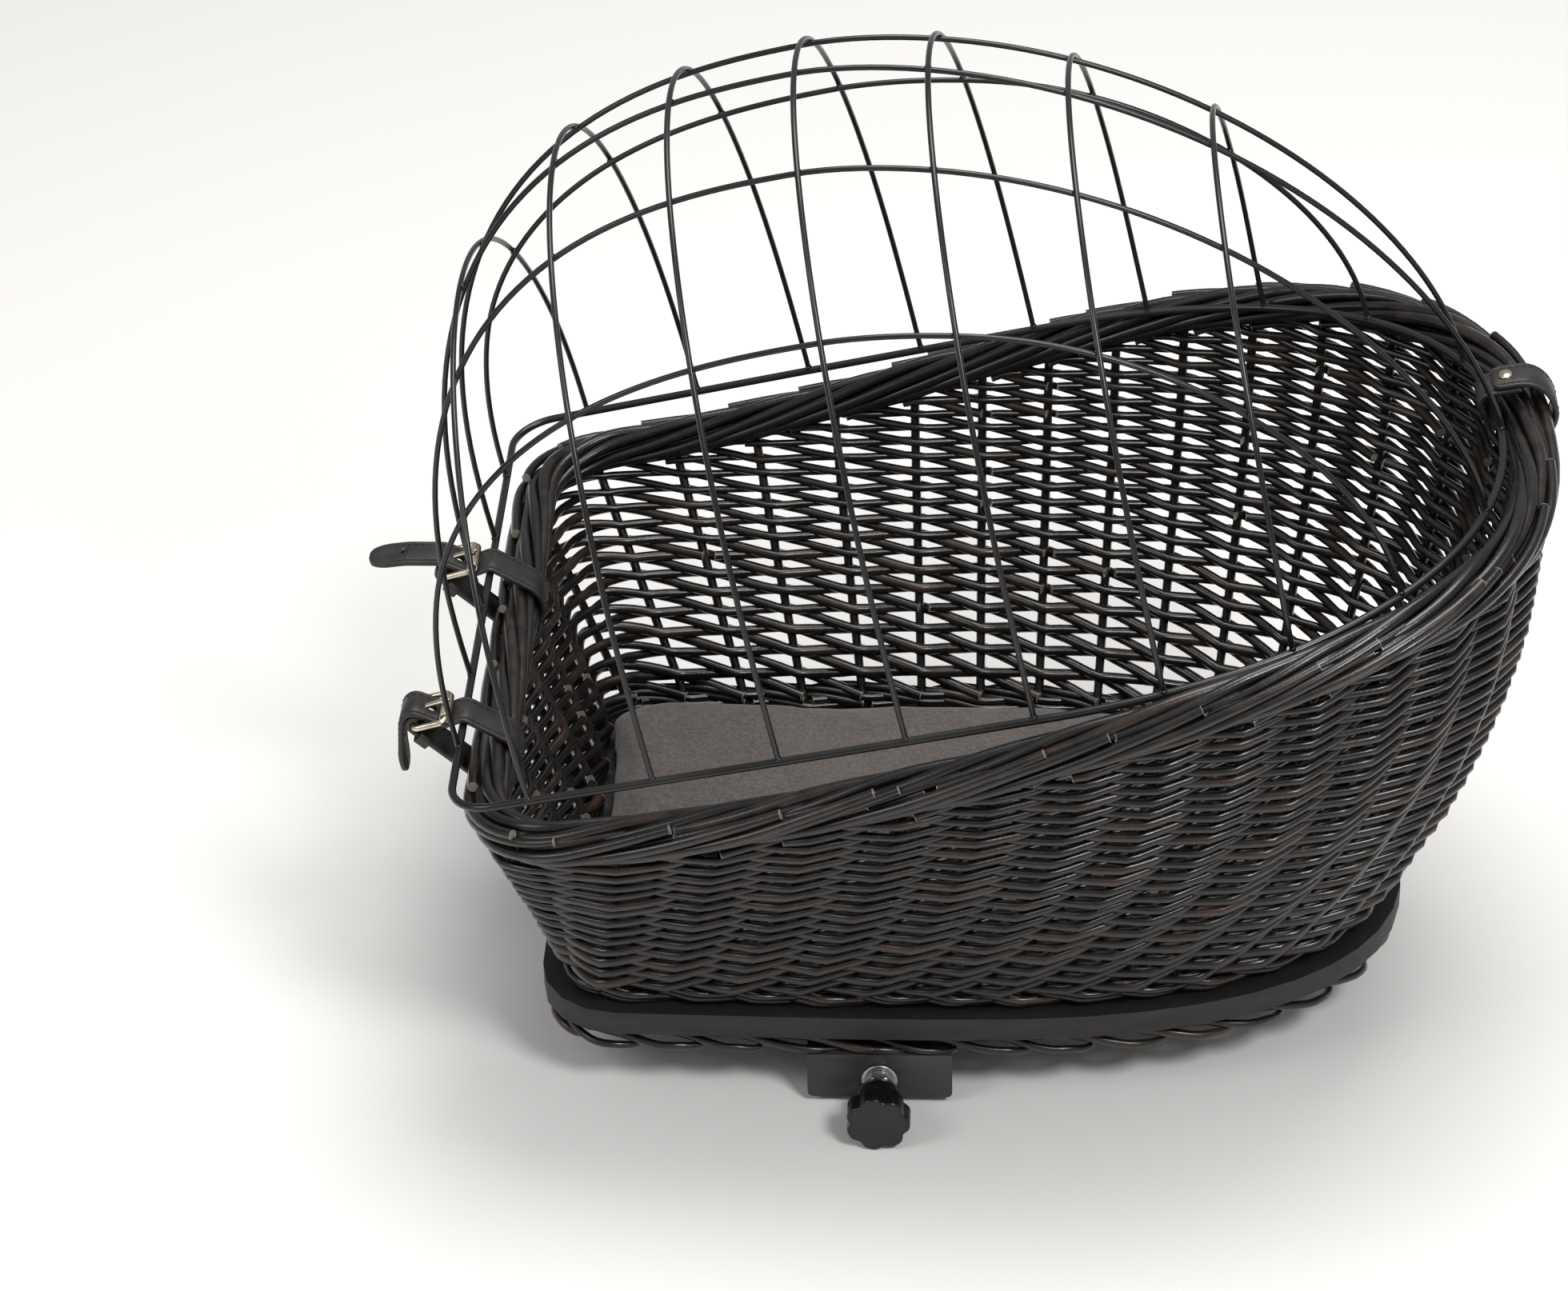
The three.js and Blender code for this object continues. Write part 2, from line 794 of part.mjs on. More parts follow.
// Wire frame of a buckle: a rounded rectangle between the bar and the roller.
function makeBuckleFrame(y) {
  const along = rollerSpot.clone().sub(barSpot);
  const halfWidth = strap.width / 2 + buckle.sideGap + buckle.wireRadius;
  const share = (buckle.wireRadius * buckleCornerShare) / along.length();
  const spots = [
    [0, -1 + share],
    [share, -1],
    [1 - share, -1],
    [1, -1 + share],
    [1, 1 - share],
    [1 - share, 1],
    [share, 1],
    [0, 1 - share],
  ];
  const path = spots.map(([reach, side]) => {
    const spot = barSpot.clone().addScaledVector(along, reach);
    return across(spot, y + side * halfWidth);
  });
  const up = new THREE.Vector3(-along.y, 0, along.x).normalize();
  return sweep(path, up, roundSection(buckle.wireRadius, 8), true);
}

function makeRoller(y) {
  const half = strap.width / 2 - clear.running;
  const bore = buckle.wireRadius + clear.touch;
  const geometry = ring(bore, buckle.rollerRadius, -half, half, 12);
  geometry.rotateX(Math.PI / 2);
  geometry.translate(rollerSpot.x, y, rollerSpot.y);
  return geometry;
}

// Prong: an eye on the bar and a flat finger that rests on the roller.
function makeProng(y) {
  const eyeRadius = buckle.wireRadius + clear.touch + buckle.prongThickness;
  const along = rollerSpot.clone().sub(barSpot);
  const rest = buckle.rollerRadius + clear.touch;
  const reach = along.length() + buckle.rollerRadius;
  const outline = new THREE.Shape();
  const joinAngle = Math.asin((rest - clear.touch) / eyeRadius) * prongNeckShare;
  const start = new THREE.Vector2(eyeRadius, 0).rotateAround(new THREE.Vector2(), joinAngle * prongEyeShare);
  outline.moveTo(start.x, start.y);
  outline.lineTo(along.length() - buckle.rollerRadius, rest);
  outline.lineTo(reach, rest);
  outline.lineTo(reach, rest + buckle.prongThickness);
  outline.lineTo(along.length() - buckle.rollerRadius, rest + buckle.prongThickness);
  for (let i = 2; i <= 12; i++) {
    const angle = joinAngle * prongEyeShare + ((2 * Math.PI - joinAngle * prongEyeShare) * i) / 12.5;
    outline.lineTo(eyeRadius * Math.cos(angle), eyeRadius * Math.sin(angle));
  }
  outline.holes.push(roundHole(0, 0, buckle.wireRadius + clear.touch, 8));
  const width = buckle.prongWidth;
  const geometry = new THREE.ExtrudeGeometry(outline, { depth: width, bevelEnabled: false });
  geometry.translate(0, 0, -width / 2);
  geometry.rotateX(Math.PI / 2);
  geometry.rotateY(-along.angle());
  geometry.translate(barSpot.x, y, barSpot.y);
  return geometry;
}

// Keeper: a small leather loop round the strap below the buckle.
function makeKeeper(y) {
  const rimRadius = rim.radius + clear.running + halfStrap;
  const leave = tangentAngle(frontRim, rimRadius, barSpot, foldRadius, 1);
  const upper = arc(barSpot, foldRadius, leave, leave, 1)[0];
  const lower = arc(frontRim, rimRadius, leave, leave, 1)[0];
  const along = lower.clone().sub(upper).normalize();
  const centre = upper.clone().addScaledVector(along, strap.keeperWidth * keeperPlaceShare);
  const off = new THREE.Vector2(along.y, -along.x);
  const gap = clear.touch + strap.keeperThickness / 2;
  const high = halfStrap + gap;
  const wide = strap.width / 2 + gap;
  const path = [
    [-1, -1],
    [1, -1],
    [1, 1],
    [-1, 1],
  ].map(([side, up]) => across(centre.clone().addScaledVector(off, up * high), y + side * wide));
  const reference = new THREE.Vector3(along.x, 0, along.y);
  return sweep(path, reference, flatSection(strap.keeperWidth, strap.keeperThickness), true);
}

// Rear strap: a loop round the rim and the cage's wire, its ends lapped and riveted on top.
const rearRimX = rearPlace(rim, rearStrap.place);
const rearRim = new THREE.Vector2(rearRimX, rimHeight(rearRimX));
const rearRimRadius = rim.radius + rearStrap.clearance + rearStrap.thickness / 2;
const rearWireRadius = frame.wireRadius + rearStrap.clearance + rearStrap.thickness / 2;
const rearTop = tangentAngle(rearRim, rearRimRadius, rearWire, rearWireRadius, -1);
const rearBottom = tangentAngle(rearRim, rearRimRadius, rearWire, rearWireRadius, 1);

function makeRearStrap() {
  const turn = 2 * Math.PI;
  const lift = rearStrap.thickness + clear.touch;
  const out = new THREE.Vector2(Math.cos(rearTop), Math.sin(rearTop));
  const along = new THREE.Vector2(-out.y, out.x);
  const lapStart = rearRim.clone().addScaledVector(out, rearRimRadius + lift);
  const outer = arc(rearRim, rearRimRadius, rearBottom, rearTop + turn, 14).map((point, i, all) => {
    const grow = smooth(Math.max((i / (all.length - 1)) * 3 - 2, 0));
    const away = point.clone().sub(rearRim).normalize();
    return point.addScaledVector(away, lift * grow);
  });
  const path = [
    ...arc(rearRim, rearRimRadius, rearTop, rearTop, 1).slice(1),
    ...arc(rearWire, rearWireRadius, rearTop, rearBottom, 8),
    ...outer,
    lapStart.clone().addScaledVector(along, rearStrap.lap),
  ].map((point) => across(point, rearStrap.place));
  const band = sweep(path, axisY, flatSection(rearStrap.width, rearStrap.thickness));
  return cut(band, placeRivet(bar(rearStrap.rivetShank + clear.touch, -clear.overrun, clear.overrun, 8)));
}

// Turns a piece made along Z to the rivet's place, square to the lapped strap.
function placeRivet(geometry) {
  const out = new THREE.Vector2(Math.cos(rearTop), Math.sin(rearTop));
  const along = new THREE.Vector2(-out.y, out.x);
  const spot = rearRim.clone().addScaledVector(out, rearRimRadius);
  spot.addScaledVector(along, rearStrap.lap / 2);
  geometry.rotateY(Math.PI / 2 - rearTop);
  geometry.translate(spot.x, rearStrap.place, spot.y);
  return geometry;
}

function makeRearRivet() {
  const half = rearStrap.thickness / 2;
  const upper = half + clear.touch + rearStrap.thickness + clear.touch;
  const lower = -half - clear.touch;
  const profile = [
    new THREE.Vector2(0, lower - rearStrap.rivetHead / 2),
    new THREE.Vector2(rearStrap.rivetRadius * rivetTailShare, lower - rearStrap.rivetHead / 2),
    new THREE.Vector2(rearStrap.rivetRadius * rivetTailShare, lower),
    new THREE.Vector2(rearStrap.rivetShank, lower),
    new THREE.Vector2(rearStrap.rivetShank, upper),
    new THREE.Vector2(rearStrap.rivetRadius, upper),
    new THREE.Vector2(rearStrap.rivetRadius * rivetTailShare, upper + rearStrap.rivetHead * rivetShoulderShare),
    new THREE.Vector2(rearStrap.rivetRadius * rivetCrownShare, upper + rearStrap.rivetHead),
    new THREE.Vector2(0, upper + rearStrap.rivetHead),
  ];
  const geometry = new THREE.LatheGeometry(profile, 10);
  geometry.rotateX(Math.PI / 2);
  return placeRivet(geometry);
}

// Slots in the wall under the rim, where the straps pass through the weave.
function strapSlot(centre, radius, y, width, thickness) {
  const low = centre.y - radius - thickness / 2 - clear.running;
  return box(
    { x: centre.x - radius, y: y - width / 2 - clear.running, z: low },
    { x: centre.x + radius, y: y + width / 2 + clear.running, z: centre.y },
  );
}

// Channel: a plate across the board, with a flange down each side for the clamp's stud.
function makeChannel() {
  const halfLength = channel.length / 2;
  const halfWidth = channel.width / 2;
  const bottom = channel.thickness - channel.height;
  const top = plate(
    [
      new THREE.Vector2(-halfLength, -halfWidth),
      new THREE.Vector2(halfLength, -halfWidth),
      new THREE.Vector2(halfLength, halfWidth),
      new THREE.Vector2(-halfLength, halfWidth),
    ],
    corners.map(([x, y]) =>
      roundHole(x * bolt.placeX, y * bolt.placeY, bolt.radius + clear.touch, 10),
    ),
    0,
    channel.thickness,
  );
  const flange = [
    new THREE.Vector2(halfLength, channel.thickness),
    new THREE.Vector2(-halfLength, channel.thickness),
    ...arc(
      { x: -halfLength + channel.cornerRadius, y: bottom + channel.cornerRadius },
      channel.cornerRadius,
      Math.PI,
      Math.PI * 1.5,
      3,
    ),
    ...arc(
      { x: halfLength - channel.cornerRadius, y: bottom + channel.cornerRadius },
      channel.cornerRadius,
      Math.PI * 1.5,
      Math.PI * 2,
      3,
    ),
  ];
  const flanges = sides.map(({ sign }) => {
    const hole = roundHole(0, -channel.studDrop, stud.radius + clear.touch, 12);
    const near = -sign * halfWidth;
    const far = -sign * (halfWidth - channel.thickness);
    const geometry = plate(flange, [hole], Math.min(near, far), Math.max(near, far));
    geometry.rotateX(Math.PI / 2);
    return geometry;
  });
  return join(top, ...flanges);
}

function makePacking() {
  const halfLength = packing.length / 2;
  const halfWidth = packing.width / 2;
  const outline = corners.map(([x, y]) => new THREE.Vector2(x * halfLength, y * halfWidth));
  const holes = corners.map(([x, y]) =>
    roundHole(x * bolt.placeX, y * bolt.placeY, bolt.radius + clear.touch, 10),
  );
  return plate(outline, holes, packingBottom, packingBottom + packing.thickness);
}

function hexNut(acrossFlats, bore, low, high) {
  return plate(roundSection(acrossFlats / Math.sqrt(3), 6)(), [roundHole(0, 0, bore, 10)], low, high);
}

const washerTop = -clear.touch;
const washerBottom = washerTop - bolt.washerThickness;
const nutTop = washerBottom - clear.touch;
const nutBottom = nutTop - bolt.nutHeight;

function makeBolt() {
  const head = boardTop - bolt.headHeight - clear.running + clear.touch;
  const end = nutBottom - bolt.end;
  return join(
    bar(bolt.radius, end, head + bolt.headHeight / 2, 8),
    bar(bolt.headRadius, head, head + bolt.headHeight, 10),
  );
}

// Clamp of one side, made along Z and then turned to point out of the flange.
const outerFace = channel.width / 2;
const clampWasher = outerFace + clear.touch;
const clampNut = clampWasher + clamp.washerThickness + clear.touch;
const hubStart = clampNut + clamp.nutHeight + clamp.knobGap;
const discStart = hubStart + clamp.hubHeight;

function faceOut(geometry, sign) {
  geometry.rotateX((-sign * Math.PI) / 2);
  geometry.translate(0, 0, -channel.studDrop);
  return geometry;
}

function lobedOutline(radius) {
  const spots = [];
  const steps = knobLobes * 6;
  for (let i = 0; i < steps; i++) {
    const angle = (2 * Math.PI * i) / steps;
    const wave = (1 - Math.cos(knobLobes * angle)) / 2;
    const reach = radius * (1 - knobLobeDepthShare * wave * wave);
    spots.push(new THREE.Vector3(reach * Math.cos(angle), reach * Math.sin(angle), 0));
  }
  return spots;
}

function makeKnob() {
  const levels = [
    { radius: clamp.discRadius - clamp.discBevel, height: discStart },
    { radius: clamp.discRadius, height: discStart + clamp.discBevel },
    { radius: clamp.discRadius, height: discStart + clamp.discHeight - clamp.discBevel },
    { radius: clamp.discRadius - clamp.discBevel, height: discStart + clamp.discHeight },
  ];
  const rings = levels.map(({ radius, height }) =>
    lobedOutline(radius).map((spot) => spot.clone().setZ(height)),
  );
  const hub = bar(clamp.hubRadius, hubStart, discStart + clamp.discHeight / 2, 16);
  const bore = bar(stud.radius + clear.touch, hubStart - clear.overrun, hubStart + clamp.boreDepth, 12);
  return cut(join(skin(rings, false), hub), bore);
}

function makeStud() {
  const start = clamp.jawPlace + clamp.jawThickness - clamp.studNose;
  return bar(stud.radius, start, hubStart + clamp.boreDepth - clear.touch, 12);
}

function makeJaw(sign) {
  const inner = clamp.jawPlace;
  const outer = inner + clamp.jawThickness;
  const top = -clamp.jawGap;
  const bottom = top - clamp.jawHeight;
  const shape = new THREE.Shape([
    new THREE.Vector2(inner - clamp.lipReach, bottom),
    new THREE.Vector2(outer, bottom),
    new THREE.Vector2(outer, top),
    new THREE.Vector2(inner, top),
    new THREE.Vector2(inner, bottom + clamp.lipThickness),
    new THREE.Vector2(inner - clamp.lipReach, bottom + clamp.lipThickness),
  ]);
  const depth = clamp.jawWidth;
  const geometry = new THREE.ExtrudeGeometry(shape, { depth, bevelEnabled: false });
  geometry.translate(0, 0, -depth / 2);
  const outward = new THREE.Vector3(0, sign, 0);
  const acrossward = new THREE.Vector3(sign, 0, 0);
  geometry.applyMatrix4(new THREE.Matrix4().makeBasis(outward, axisZ, acrossward));
  const socket = bar(
    stud.radius + clear.touch,
    outer - clamp.studNose - clear.touch,
    outer + clear.overrun,
    12,
  );
  return cut(geometry, faceOut(socket, sign));
}

// The assembly.
const strapPlaces = { left: strap.leftPlace, right: strap.rightPlace };
const frontSlots = sides.map(({ name }) =>
  strapSlot(frontRim, rim.radius + clear.running + halfStrap, strapPlaces[name], strap.width, strap.thickness),
);
const rearSlot = strapSlot(rearRim, rearRimRadius, rearStrap.place, rearStrap.width, rearStrap.thickness);

addPiece("base_board", makeBoard(), finishes.board);
addPiece("side_weave", makeWall([...frontSlots, rearSlot]), finishes.willow);
addPiece("top_border", makeTopBorder(), finishes.willow);
addPiece("foot_border", makeFootBorder(), finishes.willow);
addPiece("cushion", makeCushion(), finishes.suede);

addPiece("cage_frame", makeFrameWire(), finishes.cage, cage);
for (let i = 0; i < hoopCount; i++) {
  const place = hoopPlaces.first + hoopPlaces.pitch * i;
  addPiece("cage_hoop_" + (i + 1), makeHoop(place), finishes.cage, cage);
}
const longWires = [
  { name: "left_outer", front: -longWire.outerFront, rear: -longWire.outerRear },
  { name: "left_inner", front: -longWire.innerFront, rear: -longWire.innerRear },
  { name: "middle", front: 0, rear: 0 },
  { name: "right_inner", front: longWire.innerFront, rear: longWire.innerRear },
  { name: "right_outer", front: longWire.outerFront, rear: longWire.outerRear },
];
for (const { name, front, rear } of longWires) {
  addPiece("cage_wire_" + name, makeLongWire(front, rear), finishes.cage, cage);
}

for (const { name } of sides) {
  const y = strapPlaces[name];
  addPiece("front_strap_" + name, makeFrontStrap(y, name === "left"), finishes.leather);
  addPiece("front_keeper_" + name, makeKeeper(y), finishes.leather);
  addPiece("front_buckle_" + name, makeBuckleFrame(y), finishes.nickel);
  addPiece("front_roller_" + name, makeRoller(y), finishes.nickel);
  addPiece("front_prong_" + name, makeProng(y), finishes.nickel);
}
addPiece("rear_strap", makeRearStrap(), finishes.leather);
addPiece("rear_rivet", makeRearRivet(), finishes.nickel);

addPiece("rack_channel", makeChannel(), finishes.channel);
addPiece("packing_block", makePacking(), finishes.board);
corners.forEach(([x, y], i) => {
  const number = i + 1;
  const washer = ring(bolt.radius + clear.touch, bolt.washerRadius, washerBottom, washerTop, 10);
  const nut = hexNut(bolt.nutAcross, bolt.radius + clear.touch, nutBottom, nutTop);
  const pieces = [
    addPiece("board_bolt_" + number, makeBolt(), finishes.zinc),
    addPiece("board_washer_" + number, washer, finishes.zinc),
    addPiece("board_nut_" + number, nut, finishes.zinc),
  ];
  pieces.forEach((piece) => piece.position.set(x * bolt.placeX, y * bolt.placeY, 0));
});

for (const { name, sign } of sides) {
  const bore = stud.radius + clear.touch;
  const washerEnd = clampWasher + clamp.washerThickness;
  const washer = ring(bore, clamp.washerRadius, clampWasher, washerEnd, 14);
  const nut = hexNut(clamp.nutAcross, bore, clampNut, clampNut + clamp.nutHeight);
  addPiece("clamp_washer_" + name, faceOut(washer, sign), finishes.zinc);
  addPiece("clamp_nut_" + name, faceOut(nut, sign), finishes.zinc);
  addPiece("clamp_stud_" + name, faceOut(makeStud(), sign), finishes.zinc);
  addPiece("clamp_knob_" + name, faceOut(makeKnob(), sign), finishes.knob);
  addPiece("clamp_jaw_" + name, makeJaw(sign), finishes.channel);
}

export default basket;
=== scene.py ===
"""Dresses the dog bicycle basket: woven willow, wire dome, leather straps, suede cushion and rack clamp.

Sizes are in millimetres and are turned to metres as each mesh is made. +Z is up, -X is the low front,
-Y is the left side, and the origin is the middle of the rack channel's seat.
"""

import json
import logging
import math
from dataclasses import dataclass, replace
from enum import Enum
from typing import Callable, Iterable, Sequence

import bmesh
import bpy
import numpy as np
from mathutils import Matrix, Vector

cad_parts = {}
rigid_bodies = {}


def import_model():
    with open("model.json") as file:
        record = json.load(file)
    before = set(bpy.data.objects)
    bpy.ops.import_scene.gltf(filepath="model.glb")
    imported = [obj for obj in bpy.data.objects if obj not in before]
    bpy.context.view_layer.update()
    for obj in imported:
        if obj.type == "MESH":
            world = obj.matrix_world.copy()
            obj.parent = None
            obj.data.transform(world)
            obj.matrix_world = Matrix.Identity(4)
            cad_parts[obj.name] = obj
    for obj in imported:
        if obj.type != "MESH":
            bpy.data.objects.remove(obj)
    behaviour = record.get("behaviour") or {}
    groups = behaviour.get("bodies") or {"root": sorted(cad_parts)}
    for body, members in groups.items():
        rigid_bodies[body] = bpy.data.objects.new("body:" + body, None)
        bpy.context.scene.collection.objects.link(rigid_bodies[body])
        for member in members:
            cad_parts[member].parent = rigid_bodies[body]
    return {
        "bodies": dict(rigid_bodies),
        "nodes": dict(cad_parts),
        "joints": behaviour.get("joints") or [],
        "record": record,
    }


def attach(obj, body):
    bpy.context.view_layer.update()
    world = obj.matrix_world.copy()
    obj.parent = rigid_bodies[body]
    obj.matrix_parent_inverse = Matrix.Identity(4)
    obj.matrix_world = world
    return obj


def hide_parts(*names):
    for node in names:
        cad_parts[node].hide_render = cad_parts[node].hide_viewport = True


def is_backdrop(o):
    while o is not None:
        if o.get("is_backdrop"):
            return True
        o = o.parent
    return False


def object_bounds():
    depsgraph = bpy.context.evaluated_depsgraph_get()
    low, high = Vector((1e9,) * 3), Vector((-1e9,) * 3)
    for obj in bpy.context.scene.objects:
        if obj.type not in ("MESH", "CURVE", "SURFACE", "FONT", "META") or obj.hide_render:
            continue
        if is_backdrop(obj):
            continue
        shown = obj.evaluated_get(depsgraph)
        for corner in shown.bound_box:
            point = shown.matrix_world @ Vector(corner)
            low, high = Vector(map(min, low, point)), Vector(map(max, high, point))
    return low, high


MM = 0.001
SEED = 20
MATH = "ShaderNodeMath"
VECTOR_MATH = "ShaderNodeVectorMath"
LOG = logging.getLogger("dog_basket")

Array = np.ndarray
Socket = bpy.types.NodeSocket


class Side(Enum):
    """A side of the basket, with its sign along Y."""

    LEFT = -1
    RIGHT = 1

    @property
    def label(self) -> str:
        """Name used in the nodes' names."""
        return self.name.lower()


class Slot(Enum):
    """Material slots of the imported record."""

    WILLOW = "willow"
    BOARD = "board_paint"
    SUEDE = "suede"
    CAGE = "cage_coating"
    LEATHER = "leather"
    NICKEL = "nickel"
    CHANNEL = "channel_coating"
    ZINC = "zinc"
    KNOB = "knob_plastic"


def smooth(t: Array | float) -> Array | float:
    """Eases a share from 0 to 1 at both ends."""
    return t * t * (3 - 2 * t)


def power(base: Array | float, exponent: float) -> Array | float:
    """Power of a base that is held at or above nought."""
    return np.power(np.maximum(base, 0), exponent)


def linear(code: str) -> tuple[float, float, float, float]:
    """Turns an sRGB hex colour to linear.

    Args:
        code: colour as six hex digits.

    Returns:
        Linear red, green, blue and an alpha of 1.
    """
    shares = [int(code[i : i + 2], 16) / 255 for i in (0, 2, 4)]
    red, green, blue = (s / 12.92 if s <= 0.04045 else ((s + 0.055) / 1.055) ** 2.4 for s in shares)
    return red, green, blue, 1.0


def add(
    tree: bpy.types.NodeTree,
    kind: str,
    *values: object,
    into: dict[str | int, object] | None = None,
    **settings: object,
) -> Socket | None:
    """Adds one node with its settings and links.

    Args:
        tree: node tree that the node goes in.
        kind: type of the node.
        values: numbers or output sockets for its inputs in order, None to leave one as it is.
        into: the same for inputs named by their name or number.
        settings: the node's own properties.

    Returns:
        The node's first output socket, or None where it has none.
    """
    node = tree.nodes.new(kind)
    for name, value in settings.items():
        setattr(node, name, value)
    for key, value in [*enumerate(values), *(into or {}).items()]:
        if value is None:
            continue
        if isinstance(value, bpy.types.NodeSocket):
            tree.links.new(value, node.inputs[key])
        else:
            node.inputs[key].default_value = value
    return node.outputs[0] if node.outputs else None


def piece_from(name: str, data: bpy.types.ID, material: bpy.types.Material | None = None) -> bpy.types.Object:
    """Puts a mesh, a lamp or a camera in the scene as an object at the origin.

    Args:
        name: the object's name.
        data: what it shows, a mesh in the row frame.
        material: finish for the whole mesh, or None where it has one.

    Returns:
        The new object.
    """
    piece = bpy.data.objects.new(name, data)
    bpy.context.scene.collection.objects.link(piece)
    if material is not None:
        data.materials.clear()
        data.materials.append(material)
    return piece


def baked(piece: bpy.types.Object) -> bpy.types.Mesh:
    """A plain mesh of a piece as its modifiers leave it."""
    return bpy.data.meshes.new_from_object(piece.evaluated_get(bpy.context.evaluated_depsgraph_get()))


def mesh_from(name: str, points: Array, faces: Iterable[Sequence[int]], rounded: bool = True) -> bpy.types.Mesh:
    """Makes a mesh from points in millimetres.

    Args:
        name: the mesh's name.
        points: one row of X, Y, Z for each vertex.
        faces: vertex numbers of each face, facing outwards.
        rounded: whether faces shade smoothly.

    Returns:
        The mesh, in metres.
    """
    mesh = bpy.data.meshes.new(name)
    mesh.from_pydata((np.asarray(points, float) * MM).tolist(), [], [list(map(int, face)) for face in faces])
    mesh.polygons.foreach_set("use_smooth", [rounded] * len(mesh.polygons))
    mesh.update()
    return mesh


def skin(rings: Array, closed: bool = False, capped: bool = True) -> tuple[Array, list[list[int]]]:
    """Joins rings of points into a skin.

    Args:
        rings: array of ring, spot and X, Y, Z.
        closed: whether the last ring joins the first.
        capped: whether an open skin gets a face over each end.

    Returns:
        Points and faces.
    """
    count, spots = rings.shape[:2]
    faces = []
    for i in range(count if closed else count - 1):
        low, high = i * spots, ((i + 1) % count) * spots
        for j in range(spots):
            k = (j + 1) % spots
            faces.append([low + j, low + k, high + k, high + j])
    if capped and not closed:
        faces.append(list(range(spots))[::-1])
        faces.append([(count - 1) * spots + j for j in range(spots)])
    return rings.reshape(-1, 3), faces


def sweep(
    path: Array,
    reference: Sequence[float],
    section: Array,
    closed: bool = False,
    widths: Array | None = None,
) -> tuple[Array, list[list[int]]]:
    """Carries a section along a path.

    Args:
        path: points of the path.
        reference: direction that the section's first axis keeps to.
        section: outline as rows of across and up.
        closed: whether the path is a loop.
        widths: share of the section's full width at each point, or None for 1.

    Returns:
        Points and faces.
    """
    if closed:
        along = np.roll(path, -1, 0) - np.roll(path, 1, 0)
    else:
        along = np.gradient(path, axis=0)
    along /= np.linalg.norm(along, axis=1, keepdims=True)
    side = np.asarray(reference, float) - along * (along @ np.asarray(reference, float))[:, None]
    side /= np.linalg.norm(side, axis=1, keepdims=True)
    up = np.cross(along, side)
    if widths is not None:
        side = side * widths[:, None]
    rings = path[:, None] + side[:, None] * section[None, :, :1] + up[:, None] * section[None, :, 1:]
    return skin(rings, closed)


def round_section(radius: float, sides: int) -> Array:
    """Outline of a round rod."""
    angles = np.arange(sides) * 2 * math.pi / sides
    return radius * np.stack([np.cos(angles), np.sin(angles)], 1)


def band_section(width: float, thickness: float, edge: float, steps: int = 3) -> Array:
    """Outline of a flat band with rounded edges.

    Args:
        width: full width.
        thickness: full thickness.
        edge: radius of its edges, at most half the thickness.
        steps: points on each rounded edge.

    Returns:
        Rows of across and up.
    """
    spots = []
    for quarter, (x, y) in enumerate([(1, 1), (-1, 1), (-1, -1), (1, -1)]):
        for i in range(steps + 1):
            angle = (quarter + i / steps) * math.pi / 2
            across = x * (width / 2 - edge) + edge * math.cos(angle)
            spots.append((across, y * (thickness / 2 - edge) + edge * math.sin(angle)))
    return np.array(spots)


def resample(path: Array, step: float) -> Array:
    """Walks a path at equal steps.

    Args:
        path: points of an open path.
        step: distance wanted between points.

    Returns:
        Points at equal distances, both ends kept.
    """
    lengths = np.concatenate([[0], np.cumsum(np.linalg.norm(np.diff(path, axis=0), axis=1))])
    spots = np.linspace(0, lengths[-1], max(2, round(lengths[-1] / step) + 1))
    return np.stack([np.interp(spots, lengths, path[:, i]) for i in range(path.shape[1])], 1)


def eased(path: Array, rounds: int = 2) -> Array:
    """Cuts the corners of an open path, ends kept.

    Args:
        path: points of an open path.
        rounds: how many times each corner is cut.

    Returns:
        The softer path.
    """
    for _ in range(rounds):
        before = path[:-1] * 0.75 + path[1:] * 0.25
        after = path[:-1] * 0.25 + path[1:] * 0.75
        mixed = np.stack([before, after], 1).reshape(-1, path.shape[1])
        path = np.concatenate([path[:1], mixed[1:-1], path[-1:]])
    return path


def left_along(path: Array) -> Array:
    """Distance that is left from each point of a path to its end."""
    return np.append(np.cumsum(np.linalg.norm(np.diff(path[::-1], axis=0), axis=1))[::-1], 0.0)


